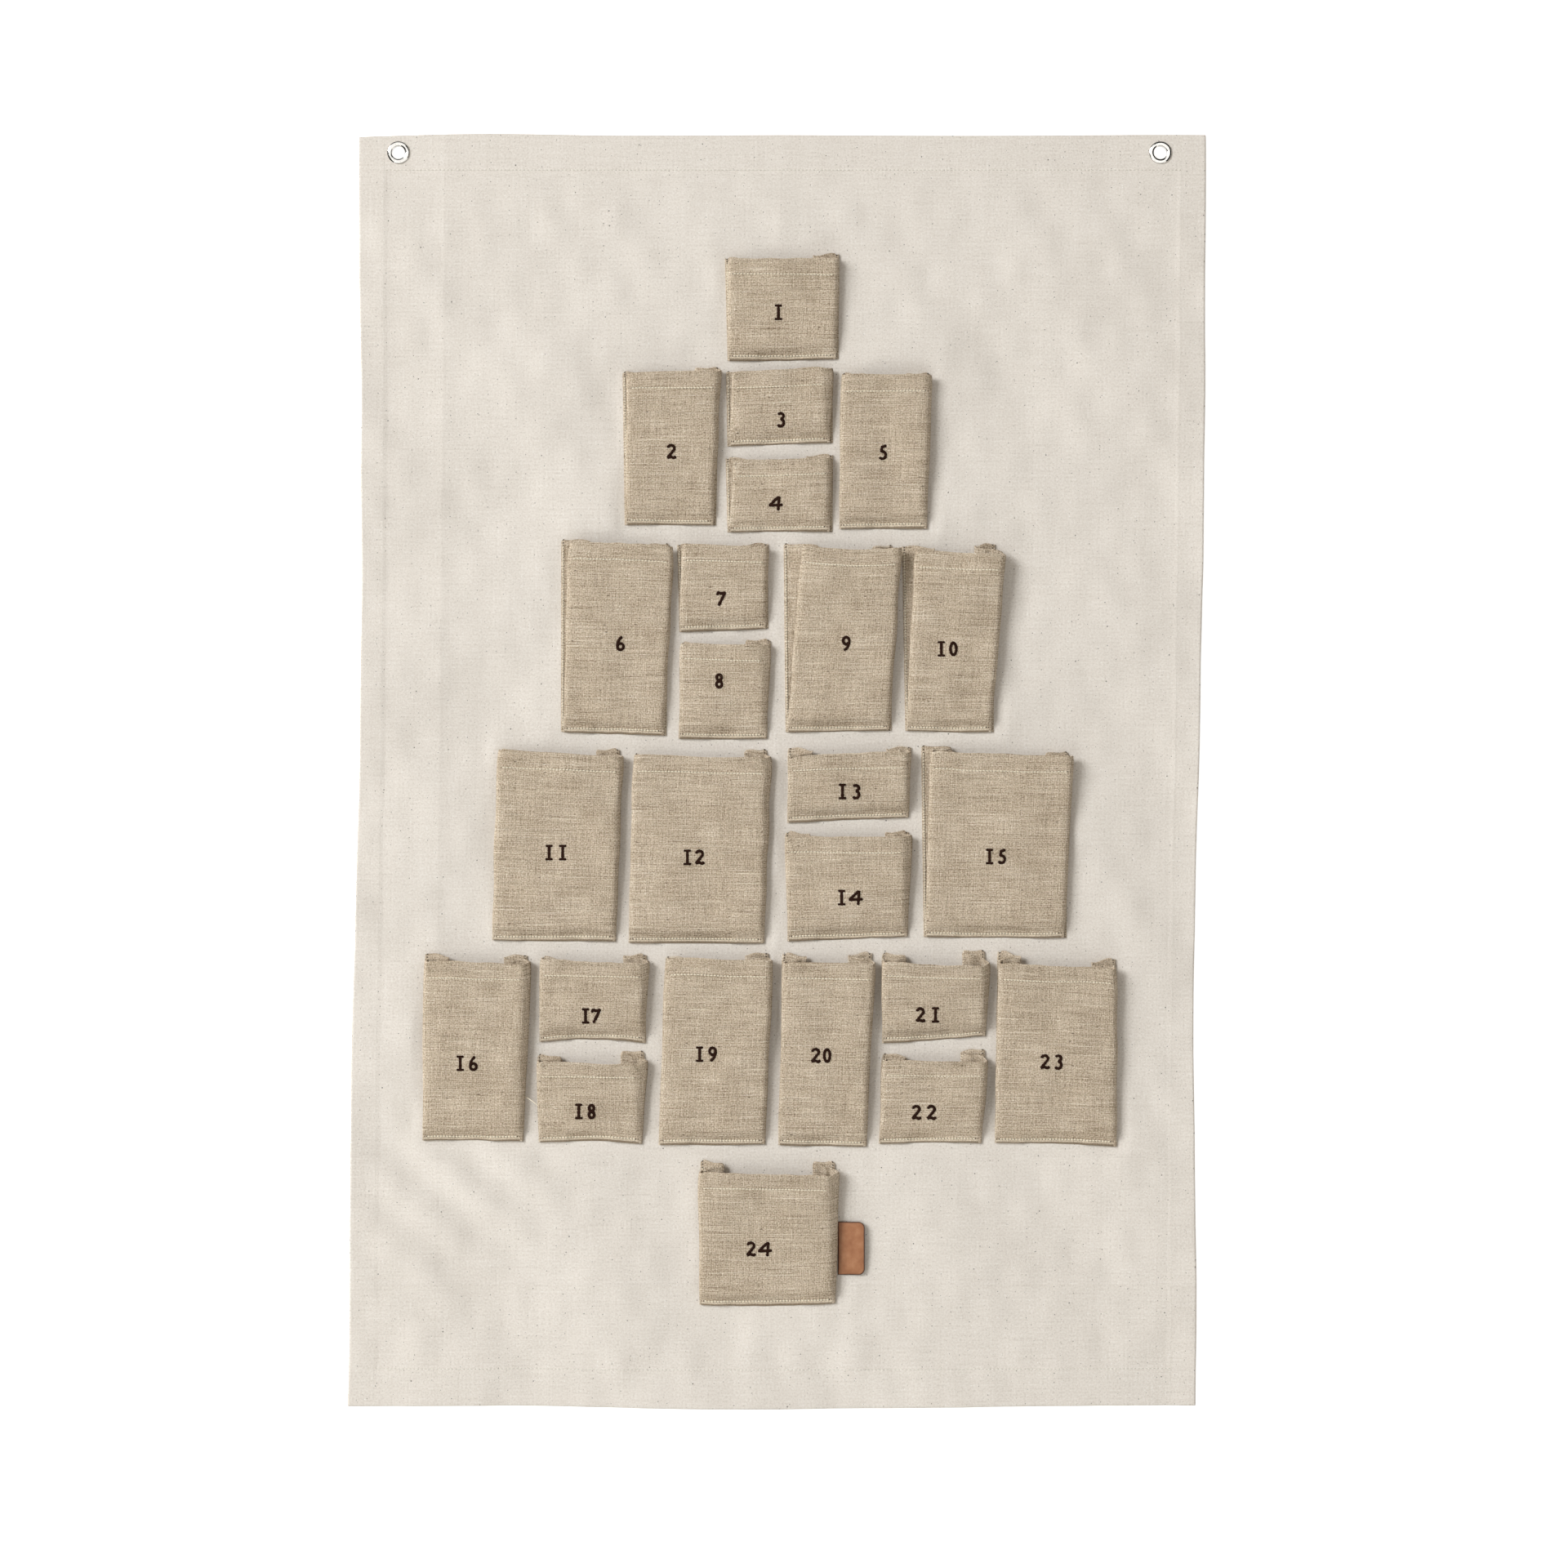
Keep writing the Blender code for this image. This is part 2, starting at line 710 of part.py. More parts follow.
stem_share = 0.31
foot_line_share = 0.08
GLYPH_SHARES = {
    "0": (ring_stroke(0.31, 0.48, 0.24, 0.40),),
    "1": (
        open_stroke([(stem_share, 0.05), (stem_share, 0.95)]),
        open_stroke([(0.08, foot_line_share), (0.54, foot_line_share)]),
        open_stroke([(0.08, 0.92), (0.54, 0.92)]),
    ),
    "2": (
        open_stroke(
            arc(0.29, 0.68, 0.21, 0.22, 165, -35, 6),
            [(0.10, foot_line_share), (0.58, foot_line_share)],
        ),
    ),
    "3": (
        open_stroke(arc(0.28, 0.71, 0.19, 0.19, 150, -70, 5)),
        open_stroke(arc(0.27, 0.30, 0.22, 0.22, 75, -155, 6)),
    ),
    "4": (
        open_stroke([(0.42, 0.92), (0.06, 0.32), (0.62, 0.32)]),
        open_stroke([(0.42, 0.95), (0.42, 0.03)]),
        open_stroke([(0.28, foot_line_share), (0.58, foot_line_share)]),
    ),
    "5": (
        open_stroke([(0.52, 0.92), (0.18, 0.92), (0.13, 0.54)], arc(0.27, 0.32, 0.23, 0.24, 95, -150, 6)),
    ),
    "6": (
        ring_stroke(0.30, 0.30, 0.21, 0.22),
        open_stroke(arc(0.52, 0.32, 0.42, 0.60, 185, 100, 5)),
    ),
    "7": (
        open_stroke([(0.08, 0.78), (0.12, 0.91), (0.54, 0.91), (0.26, 0.04)]),
        open_stroke([(0.14, foot_line_share), (0.42, foot_line_share)]),
    ),
    "8": (
        ring_stroke(0.30, 0.29, 0.22, 0.21),
        ring_stroke(0.30, 0.72, 0.18, 0.19),
    ),
    "9": (
        ring_stroke(0.30, 0.70, 0.21, 0.22),
        open_stroke(arc(0.08, 0.68, 0.42, 0.60, 5, -80, 5)),
    ),
}
glyph_width_share = 0.62


def stroke_mesh(stroke, start, thickness, layer, width=numeral_stroke):
    """One padded stroke of a numeral, standing on the plane y = 0 and facing -Y; later layers are thinner."""
    points, closed = stroke
    line = [(start + x * numeral_height, z * numeral_height) for x, z in points]
    left, right = offset_line(line, width / 2, width / 2, closed)
    near = layer * numeral_layer_step
    far = thickness - layer * numeral_layer_step
    rings = []
    for (x, z), (other_x, other_z) in zip(left, right):
        rings.append(
            [
                Vector((x, -near, z)),
                Vector((x, -far, z)),
                Vector((other_x, -far, other_z)),
                Vector((other_x, -near, other_z)),
            ]
        )
    bm = bmesh.new()
    loft(bm, rings, closed)
    return closed_mesh(bm, "stroke")


def numeral_mesh(name, number):
    """The numeral's digits as one embroidered piece, centred on its origin; a jump thread joins two digits."""
    digits = str(number)
    glyph_width = glyph_width_share * numeral_height
    start = -(glyph_width + numeral_pitch * (len(digits) - 1)) / 2
    solids = []
    for index, digit in enumerate(digits):
        for stroke in GLYPH_SHARES[digit]:
            place = start + index * numeral_pitch
            solids.append(stroke_mesh(stroke, place, numeral_thickness, len(solids)))
    if len(digits) > 1:
        reach = (numeral_pitch + 2 * stem_share * numeral_height) / numeral_height
        jump = open_stroke([(stem_share, foot_line_share), (reach - stem_share, foot_line_share)])
        solids.append(stroke_mesh(jump, start, numeral_thickness, len(solids), jump_thread_width))
    mesh = union(name, solids)
    middle = Vector((0, 0, numeral_height / 2))
    for vert in mesh.vertices:
        vert.co -= middle
    return mesh


def build_pocket(number, corner, linen, thread):
    """A pocket with its origin on the line it opens about, and the numeral sewn on its front."""
    pocket = POCKETS[number]
    name = f"pocket_{number:02d}"
    across, down = corner
    origin = sheet_point(across + pocket.width / 2, down, canvas_face)
    body = add_object(name, pocket_mesh(name, pocket), linen, origin)
    low = belly_height
    high = pocket.height - pocket_hem
    up = pocket.number_up * pocket.height
    foot = Vector((0, -front_depth(pocket, low) - linen_cloth / 2, front_height(pocket, low)))
    head = Vector((0, -front_depth(pocket, high) - linen_cloth / 2, front_height(pocket, high)))
    slope = (head - foot).normalized()
    outward = Vector((0, -slope.z, slope.y))
    spot = foot + slope * (up - foot.z) / slope.z + outward * numeral_clear
    spot.x = (pocket.number_across - 0.5) * pocket.width
    label = add_object(f"number_{number:02d}", numeral_mesh(f"number_{number:02d}", number), thread)
    label.parent = body
    label.location = spot
    label.rotation_euler = (math.atan2(-slope.y, slope.z), 0, 0)
    return body


# Leather tab


def build_tab(corner, leather):
    """The tab beside the last pocket, its origin on its sewn edge; it stands off a little at its free end."""
    pocket = POCKETS[max(POCKETS)]
    across, down = corner
    origin = sheet_point(across + pocket.width + tab_clear, down - tab_up_share * pocket.height, canvas_face)
    origin.y -= tab_thickness + linen_clear
    half = tab_height / 2
    outline = [(0.0, -half)]
    for side, start in ((-1, -90), (1, 0)):
        for index in range(tab_corner_steps + 1):
            turn = math.radians(start + 90 * index / tab_corner_steps)
            x = tab_length - tab_corner + tab_corner * math.cos(turn)
            outline.append((x, side * (half - tab_corner) + tab_corner * math.sin(turn)))
    outline.append((0.0, half))
    bm = bmesh.new()
    front = [bm.verts.new((x, -x * tab_lift_share, z)) for x, z in outline]
    back = [bm.verts.new((x, tab_thickness - x * tab_lift_share, z)) for x, z in outline]
    bm.faces.new(front)
    bm.faces.new(back[::-1])
    for index in range(len(outline)):
        after = (index + 1) % len(outline)
        bm.faces.new((front[index], front[after], back[after], back[index]))
    add_object("leather_tab", closed_mesh(bm, "leather_tab"), leather, origin)


def main():
    for old in list(bpy.data.objects):
        bpy.data.objects.remove(old)
    canvas = material("natural_cotton_canvas", (0.76, 0.72, 0.64), 0.9)
    linen = material("unbleached_linen", (0.47, 0.38, 0.27), 0.9)
    sewing = material("cream_sewing_thread", (0.78, 0.70, 0.55), 0.8)
    embroidery = material("dark_brown_embroidery_thread", (0.03, 0.02, 0.012), 0.6)
    nickel = material("polished_nickel", (0.72, 0.70, 0.66), 0.2, 1.0)
    leather = material("tan_leather", (0.40, 0.16, 0.07), 0.6)
    build_canvas(canvas)
    build_hem_threads(sewing)
    build_eyelets(nickel)
    places = lay_out()
    for number in POCKETS:
        build_pocket(number, places[number], linen, embroidery)
    build_tab(places[max(POCKETS)], leather)
    bpy.context.view_layer.update()


main()
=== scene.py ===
"""Looks of the advent calendar: a hemmed cotton canvas with 24 folded linen pockets, sewn on as a tree.

Frame: metres, +Z up. The front faces -Y, and the origin is midway between the eyelets in the plane of the canvas
back. On the canvas, "across" runs from its left edge and "down" from its top edge. On a pocket, "level" is the
height above its bottom edge along the cloth, and "depth" the distance from the canvas face towards the viewer.
"""

import json
import math
from types import SimpleNamespace

import bpy
import numpy as np
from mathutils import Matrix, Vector


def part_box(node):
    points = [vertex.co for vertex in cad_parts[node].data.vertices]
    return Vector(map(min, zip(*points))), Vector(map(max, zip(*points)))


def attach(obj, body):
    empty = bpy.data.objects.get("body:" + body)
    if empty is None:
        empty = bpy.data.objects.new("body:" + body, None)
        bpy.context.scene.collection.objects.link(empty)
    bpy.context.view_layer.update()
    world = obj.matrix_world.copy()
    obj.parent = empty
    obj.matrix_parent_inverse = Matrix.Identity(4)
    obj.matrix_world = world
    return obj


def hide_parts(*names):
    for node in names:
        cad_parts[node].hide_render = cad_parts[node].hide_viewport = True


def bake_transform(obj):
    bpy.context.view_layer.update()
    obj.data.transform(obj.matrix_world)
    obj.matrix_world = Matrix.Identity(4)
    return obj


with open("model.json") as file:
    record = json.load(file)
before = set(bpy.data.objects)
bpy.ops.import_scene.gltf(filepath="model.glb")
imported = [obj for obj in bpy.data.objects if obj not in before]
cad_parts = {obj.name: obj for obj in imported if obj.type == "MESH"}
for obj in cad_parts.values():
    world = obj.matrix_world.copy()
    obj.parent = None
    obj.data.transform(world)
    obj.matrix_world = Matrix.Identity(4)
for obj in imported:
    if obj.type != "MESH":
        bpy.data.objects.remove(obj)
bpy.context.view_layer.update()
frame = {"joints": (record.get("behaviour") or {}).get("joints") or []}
JOINTS = {joint["name"]: joint for joint in frame["joints"]}

# Canvas sizes, as in the model
canvas_width = 0.600
canvas_height = 0.900
canvas_cloth = 0.0007
canvas_face = 2 * canvas_cloth
top_hem = 0.025
bottom_hem = 0.027
side_hem = 0.0195
hem_stitch_inset = 0.002
eyelet_spacing = 0.540
eyelet_inset = 0.0275
eyelet_drop = 0.012
hang_drift = -0.008
side_border = 0.045
bottom_border = 0.062
left_draw = 0.0045
right_draw = 0.0035
bottom_dip = 0.0025

# Eyelets, as in the model
hole_radius = 0.0046
barrel_wall = 0.0004
flange_reach = 0.0030
flange_height = 0.0015
eyelet_clear = 0.0003
washer_reach = 0.0026
washer_thickness = 0.0006

# Pocket sizes, as in the model
linen_cloth = 0.0005
linen_clear = 0.0003
pocket_hem = 0.013
seam_height = 0.003
flange_width = 0.003
hugging_inset = 0.002
pleat_depth = 0.0165
belly_height = 0.009
mouth_depth = 0.010
belly_share = 0.62
layer_step = 0.00065
hem_step = 0.0006

# Stitches: their thickness and the length from one to the next
stitch_radius = 0.00042
hem_stitch = 0.0024
foot_stitch = 0.0023
side_stitch = 0.0020
canvas_stitch = 0.0027

# How far the canvas curls and over what length the curl comes and goes
side_curl = 0.0016
foot_curl = 0.0022
curl_length = 0.24

# Steps round a turned eyelet, and the tab's thickness, corner round, extra length inside the seam and bending length
turned_steps = 72
tab_thickness = 0.0012
tab_corner = 0.0045
tab_root = 0.0017

# Each pocket as in the model: how far its left and right edges lean and its front drops, as shares of its height,
# and its gape
SHARES = {
    1: (-0.007, 0.013, 0.031, 0.85),
    2: (-0.009, 0.018, 0.030, 0.90),
    3: (-0.028, 0.019, 0.010, 0.85),
    4: (0.009, -0.009, 0.037, 0.80),
    5: (0.014, 0.014, 0.005, 0.95),
    6: (-0.007, 0.029, 0.005, 0.85),
    7: (0.016, 0.027, 0.027, 0.90),
    8: (0.007, 0.014, 0.040, 0.85),
    9: (0.061, 0.053, 0.017, 1.10),
    10: (0.049, 0.061, 0.018, 1.10),
    11: (0.022, 0.026, 0.017, 0.95),
    12: (0.022, 0.029, 0.021, 1.00),
    13: (0.010, 0.000, 0.078, 1.10),
    14: (-0.007, 0.040, 0.037, 1.00),
    15: (-0.004, 0.034, 0.017, 1.00),
    16: (0.008, 0.034, 0.039, 1.00),
    17: (0.008, 0.048, 0.076, 1.00),
    18: (0.000, 0.056, 0.090, 1.00),
    19: (0.030, 0.030, 0.018, 1.00),
    20: (0.012, 0.022, 0.037, 1.00),
    21: (0.008, 0.072, 0.091, 1.10),
    22: (0.047, 0.047, 0.073, 1.00),
    23: (0.017, 0.000, 0.060, 1.05),
    24: (-0.017, 0.040, 0.064, 1.15),
}

# Each pocket as fitted to the photo, in millimetres: the inset of its front's left edge and the width of its
# right side, at the top; how far its left and right folds stand up; how far the left, middle and right of its foot
# are raised; how far its front's top corners are raised; how far the top edge sags and the front bulges; and how far
# the left edge and then the right edge lie to the right of the model's, each at the foot and at the top
MEASURES = {
    1: (2.6, 1.3, -2.9, 0.0, 0.0, 0.4, 1.7, -0.9, -0.6, 0.8, 0.3, 0.0, -1.9, 0.6, 1.0),
    2: (4.0, 2.5, -3.6, -0.6, 0.0, 0.3, 0.0, -1.0, 0.5, 0.4, 0.5, -0.6, -2.1, -1.8, 0.8),
    3: (5.5, 5.0, -2.9, -2.3, -1.7, -0.3, 0.9, -2.7, 1.5, 0.4, 0.8, -2.4, -3.4, 0.6, 0.5),
    4: (4.9, 2.0, -1.7, 0.6, 0.0, 0.5, 0.6, -0.9, 0.8, 0.4, 0.6, 0.0, -1.3, -0.8, -0.3),
    5: (0.3, 1.8, -1.4, -1.4, 0.0, 0.3, 0.0, -1.6, -1.6, 0.3, 0.6, 0.0, -1.0, -0.6, 0.4),
    6: (6.5, 1.3, 0.0, -2.9, 2.3, 1.0, 0.0, 0.0, -2.8, 0.3, 0.4, 0.0, 0.2, -1.0, 1.0),
    7: (2.2, 1.5, -1.7, -1.2, -0.3, 0.6, 2.1, 0.5, -1.2, 0.4, 0.8, -1.4, -2.9, -1.2, -1.5),
    8: (0.3, 5.0, -2.6, -0.6, 0.0, -0.4, 0.0, 0.4, -1.0, 0.5, 0.4, 0.0, 0.3, -1.2, 0.1),
    9: (4.5, 1.3, 0.0, -1.2, -0.5, 0.0, 0.8, 1.9, 0.2, 3.2, 0.6, -0.8, -2.2, -0.6, 0.2),
    10: (2.3, 1.6, -0.6, 1.0, 1.0, 0.2, 0.0, -0.9, -3.8, 0.5, 0.5, 0.1, -2.3, -0.7, 0.3),
    11: (0.3, 2.2, -1.2, -0.8, 0.8, 0.0, 0.0, 2.0, -2.9, 0.6, 0.5, -1.1, -0.4, -0.5, 0.8),
    12: (0.4, 3.8, -3.6, -0.6, 0.6, 0.1, 0.3, -0.5, -2.9, 0.6, 0.4, 0.0, 0.0, -0.7, -0.2),
    13: (0.3, 2.6, -0.4, 0.3, -2.0, 0.2, 1.9, -2.7, 1.2, -0.6, 2.0, -0.6, -1.2, -1.1, 0.2),
    14: (0.4, 5.5, -1.0, -0.6, -1.9, -0.2, 1.6, -0.4, -0.4, 0.8, 1.6, 0.0, -1.9, -0.7, -1.5),
    15: (6.0, 1.4, 2.6, -1.7, 0.6, 0.2, 0.0, 1.7, -1.6, 0.6, 0.6, -1.1, -2.9, 0.1, 1.3),
    16: (0.4, 4.6, 0.0, -1.2, 0.4, 0.2, -0.5, 1.1, -1.8, 0.2, 0.7, -0.6, -0.6, -1.4, 0.0),
    17: (0.4, 4.6, -2.3, -0.6, 0.0, 1.8, -1.0, 1.8, -1.2, 1.0, 1.6, -1.9, -1.9, -2.2, -3.0),
    18: (0.4, 6.8, -0.6, 1.7, 0.4, 1.5, -0.7, 1.3, -0.9, 0.8, 1.2, -2.5, -4.6, -3.1, -3.0),
    19: (0.4, 1.5, -2.0, 0.4, 0.6, 0.3, 1.0, 0.7, -1.2, 0.4, 0.5, -0.7, -0.2, 0.0, 1.0),
    20: (0.4, 1.5, 0.0, 0.6, 0.8, 0.1, 0.0, -0.1, -1.2, 0.4, 0.6, -0.9, -0.3, -1.2, 1.2),
    21: (0.4, 4.6, -0.6, 1.2, -1.7, 0.6, 3.8, -0.1, -3.5, 1.0, 1.8, -0.5, -1.9, -0.2, -2.3),
    22: (0.4, 2.0, -1.5, 1.5, -0.5, 0.6, 0.0, -0.2, -1.6, 0.8, 1.0, -2.6, -3.5, -2.3, -1.2),
    23: (0.5, 1.5, 2.3, -2.9, 1.2, 0.6, -1.4, 2.8, -1.2, 0.6, 0.7, 0.0, -0.9, 0.0, -1.2),
    24: (0.4, 6.5, 1.2, 0.3, -0.4, -1.3, 0.8, 0.4, -1.9, 0.5, 0.7, -0.6, 0.0, -1.2, -3.0),
}

# Each numeral as read from the photo, in millimetres: the distance between its digits' middles, and how far it lies
# to the right of and above the model's
NUMERALS = {
    1: (0.0, -0.2, -0.2), 2: (0.0, 0.9, 0.6), 3: (0.0, -0.9, -0.6), 4: (0.0, 0.2, 0.3), 5: (0.0, -0.2, 0.3),
    6: (0.0, 0.0, 2.4), 7: (0.0, -0.9, 0.6), 8: (0.0, 0.0, 1.9), 9: (0.0, -0.2, 1.3), 10: (8.5, -1.2, 1.2),
    11: (9.6, 0.3, 1.9), 12: (8.9, -0.2, 2.4), 13: (9.7, -1.2, 1.0), 14: (10.1, -0.9, 1.0), 15: (8.7, -0.9, 1.5),
    16: (9.3, 0.3, 1.5), 17: (7.3, -0.8, 1.7), 18: (9.0, -2.9, 2.2), 19: (8.9, -0.2, 1.9), 20: (7.8, 0.0, 2.7),
    21: (10.4, 0.0, 1.9), 22: (10.7, -1.4, 2.2), 23: (9.3, 0.0, 1.9), 24: (9.8, 0.3, 2.4),
}


# Materials


def colour(code):
    """An sRGB hex colour as linear RGBA."""
    shares = [int(code[i : i + 2], 16) / 255 for i in (1, 3, 5)]
    return tuple(s / 12.92 if s <= 0.04045 else ((s + 0.055) / 1.055) ** 2.4 for s in shares) + (1.0,)


def node(tree, kind, inputs=(), out=0, stops=(), **settings):
    """Adds one shader node with its settings and links, and gives one of its outputs.

    inputs holds a value or another node's output for each socket, in order or by number or name; stops are a
    colour ramp's places and hex colours.
    """
    made = tree.nodes.new("ShaderNode" + kind)
    for name, value in settings.items():
        setattr(made, name, value)
    for socket, value in (inputs if isinstance(inputs, dict) else dict(enumerate(inputs))).items():
        if isinstance(value, bpy.types.NodeSocket):
            tree.links.new(value, made.inputs[socket])
        else:
            made.inputs[socket].default_value = value
    for index, (place, code) in enumerate(stops):
        band = made.color_ramp.elements
        element = band[index] if index < 2 else band.new(place)
        element.position, element.color = place, colour(code)
    return made.outputs[out]


def new_material(name, **fixed):
    """A new material whose shader has its uniform values set; gives the material, its tree and its shader."""
    made = bpy.data.materials.new(name)
    made.use_nodes = True
    shader = made.node_tree.nodes["Principled BSDF"]
    for socket, value in fixed.items():
        shader.inputs[socket.replace("_", " ")].default_value = value
    return made, made.node_tree, shader


def patches(tree, place, per_metre, detail=2.0):
    """Soft patches, from 0 to 1, with so many to the metre along each axis."""
    placed = node(tree, "Mapping", {"Vector": place, "Scale": per_metre})
    return node(tree, "TexNoise", {"Vector": placed, "Scale": 1.0, "Detail": detail, "Roughness": 0.55})


def summed(tree, middle, *parts):
    """A middle value plus each part times its share, with parts from 0 to 1 taken about their own middle."""
    total = middle - 0.5 * sum(share for _, share in parts)
    for part, share in parts:
        total = node(tree, "Math", [part, share, total], operation="MULTIPLY_ADD")
    return total


def tinted(tree, base, share, code):
    """The base colour, mixed towards a hex colour by a share from 0 to 1."""
    return node(tree, "Mix", {0: share, 6: base, 7: colour(code)}, out=2, data_type="RGBA")


def times(tree, value, factor):
    """A value times a factor."""
    return node(tree, "Math", [value, factor], operation="MULTIPLY")


def finish_shader(tree, shader, base, relief, strength, distance):
    """Sets a shader's colour and a bump of a relief, given its strength and how far it stands off."""
    tree.links.new(base, shader.inputs["Base Color"])
    bump = node(tree, "Bump", {"Strength": strength, "Distance": distance, "Height": relief})
    tree.links.new(bump, shader.inputs["Normal"])


def weave(tree, place, pitch, wander):
    """The threads of a plain weave, from a place in metres along the cloth.

    A wandering copy of the place over the thread pitch gives each thread's number (floor) and the place across
    it (fraction). Where the two numbers add up to an even one the warp lies on top, elsewhere the weft; each
    shows as a small pillow, round across the thread and longer along it. Gives the pillow's height.
    """
    drift = node(tree, "TexNoise", {"Vector": place, "Scale": 140.0, "Detail": 3.0}, out=1)
    drift = node(tree, "VectorMath", [drift, (0.5, 0.5, 0.5)], operation="SUBTRACT")
    moved = node(tree, "VectorMath", {0: drift, 1: (wander, wander, 0.0), 2: place}, operation="MULTIPLY_ADD")
    counted = node(tree, "VectorMath", {0: moved, "Scale": 1 / pitch}, operation="SCALE")
    numbers, across = [], []
    for axis in (0, 1):
        count = node(tree, "SeparateXYZ", [counted], out=axis)
        numbers.append(node(tree, "Math", [count], operation="FLOOR"))
        side = node(tree, "Math", [count, 0.5], operation="PINGPONG")
        across.append(node(tree, "MapRange", {0: side, 2: 0.5}, interpolation_type="SMOOTHSTEP"))
    over = node(tree, "Math", [node(tree, "Math", numbers, operation="ADD"), 2.0], operation="FLOORED_MODULO")
    along = [node(tree, "Math", [one, 0.45, 0.55], operation="MULTIPLY_ADD") for one in across]
    pillows = [node(tree, "Math", [across[i], along[1 - i]], operation="MULTIPLY") for i in (0, 1)]
    return node(tree, "Mix", {0: over, 2: pillows[0], 3: pillows[1]}, data_type="FLOAT")


def flecks(tree, place, per_metre, reach):
    """Small flecks, at most one to a cell and each of its own size: 1 inside, 0 outside. reach is a share of a cell."""
    placed = node(tree, "Mapping", {"Vector": place, "Scale": per_metre})
    away = node(tree, "TexVoronoi", {"Vector": placed, "Scale": 1.0}, voronoi_dimensions="2D")
    own = node(tree, "TexVoronoi", {"Vector": placed, "Scale": 1.0}, out=1, voronoi_dimensions="2D")
    size = node(tree, "Math", [node(tree, "SeparateColor", [own]), 1.5 * reach, -0.5 * reach], operation="MULTIPLY_ADD")
    within = node(tree, "Math", [size, away], operation="SUBTRACT")
    return node(tree, "MapRange", {0: within, 1: 0.0, 2: 0.3 * reach})


def make_linen():
    """Unbleached linen, woven plain from uneven flax thread, ten threads to the centimetre.

    Flax is brown-grey and dry: pale and dark stretches of thread side by side, thick slubs along the weft that are
    painted paler as a highlight where they catch the light, a few dark flecks of straw, and no shine. The needle's
    holes are painted dark with the shade in them between the stitches, and the pressed lip below the bottom seam is
    painted pale as a highlight on its rounded fold, down to its frayed brown edge. In the map "seam", that lip alone
    has a negative height.
    """
    made, tree, shader = new_material("unbleached_linen", Roughness=0.9, Specular_IOR_Level=0.2, Sheen_Weight=0.05)
    place = node(tree, "UVMap", uv_map="cloth")
    height = weave(tree, place, 0.00102, 0.0012)
    grain = patches(tree, place, (900.0, 1000.0, 1.0))
    weft = patches(tree, place, (36.0, 950.0, 1.0))
    warp = patches(tree, place, (950.0, 50.0, 1.0))
    slub = patches(tree, place, (22.0, 1300.0, 1.0))
    cloud = patches(tree, place, (55.0, 55.0, 1.0), 3.0)
    # painted shade: the weave's height lightens each thread's crown and darkens the hollows between the threads
    tone = summed(tree, 0.5, (height, 0.34), (grain, 1.30), (weft, 0.50), (warp, 0.44), (slub, 0.4), (cloud, 0.26))
    stops = ((0.0, "#6B5B47"), (1.0, "#FFFAF0"), (0.25, "#A8967E"), (0.5, "#CDBBA3"), (0.75, "#E7D9C4"))
    base = node(tree, "ValToRGB", [tone], stops=stops)
    # painted highlight: the thick slubs are tinted paler where they would catch the light
    thick = node(tree, "MapRange", {0: slub, 1: 0.645, 2: 0.705, 4: 0.60})
    base = tinted(tree, base, thick, "#F1E8D6")
    thin = node(tree, "MapRange", {0: slub, 1: 0.38, 2: 0.30, 4: 0.38})
    base = tinted(tree, base, thin, "#806F56")
    straw = times(tree, flecks(tree, place, (45.0, 110.0, 1.0), 0.055), 0.75)
    base = tinted(tree, base, straw, "#5B4A36")
    row = node(tree, "UVMap", uv_map="seam")
    stitch = node(tree, "Math", [node(tree, "SeparateXYZ", [row]), 0.5], operation="PINGPONG")
    stitch = times(tree, stitch, foot_stitch)
    beside = node(tree, "SeparateXYZ", [row], out=1)
    away = node(tree, "VectorMath", [node(tree, "CombineXYZ", [stitch, beside])], out=1, operation="LENGTH")
    # painted highlight: the pressed lip below the bottom seam is tinted pale for the light on its rounded fold
    lip = node(tree, "MapRange", {0: beside, 1: -0.0003, 2: -0.0009, 4: 0.34})
    base = tinted(tree, base, lip, "#F3E6CE")
    frayed = node(tree, "MapRange", {0: beside, 1: -0.0015, 2: -0.0024, 4: 0.75})
    base = tinted(tree, base, frayed, "#6B583F")
    # painted shade: the needle holes are tinted dark for the shade inside them
    hole = node(tree, "MapRange", {0: away, 1: 0.00045, 2: 0.00080, 3: 0.92, 4: 0.0})
    base = tinted(tree, base, hole, "#3A2E20")
    relief = summed(tree, 0.5, (height, 1.0), (slub, 0.9), (grain, 0.5), (hole, -0.8))
    finish_shader(tree, shader, base, relief, 0.9, 0.00035)
    return made


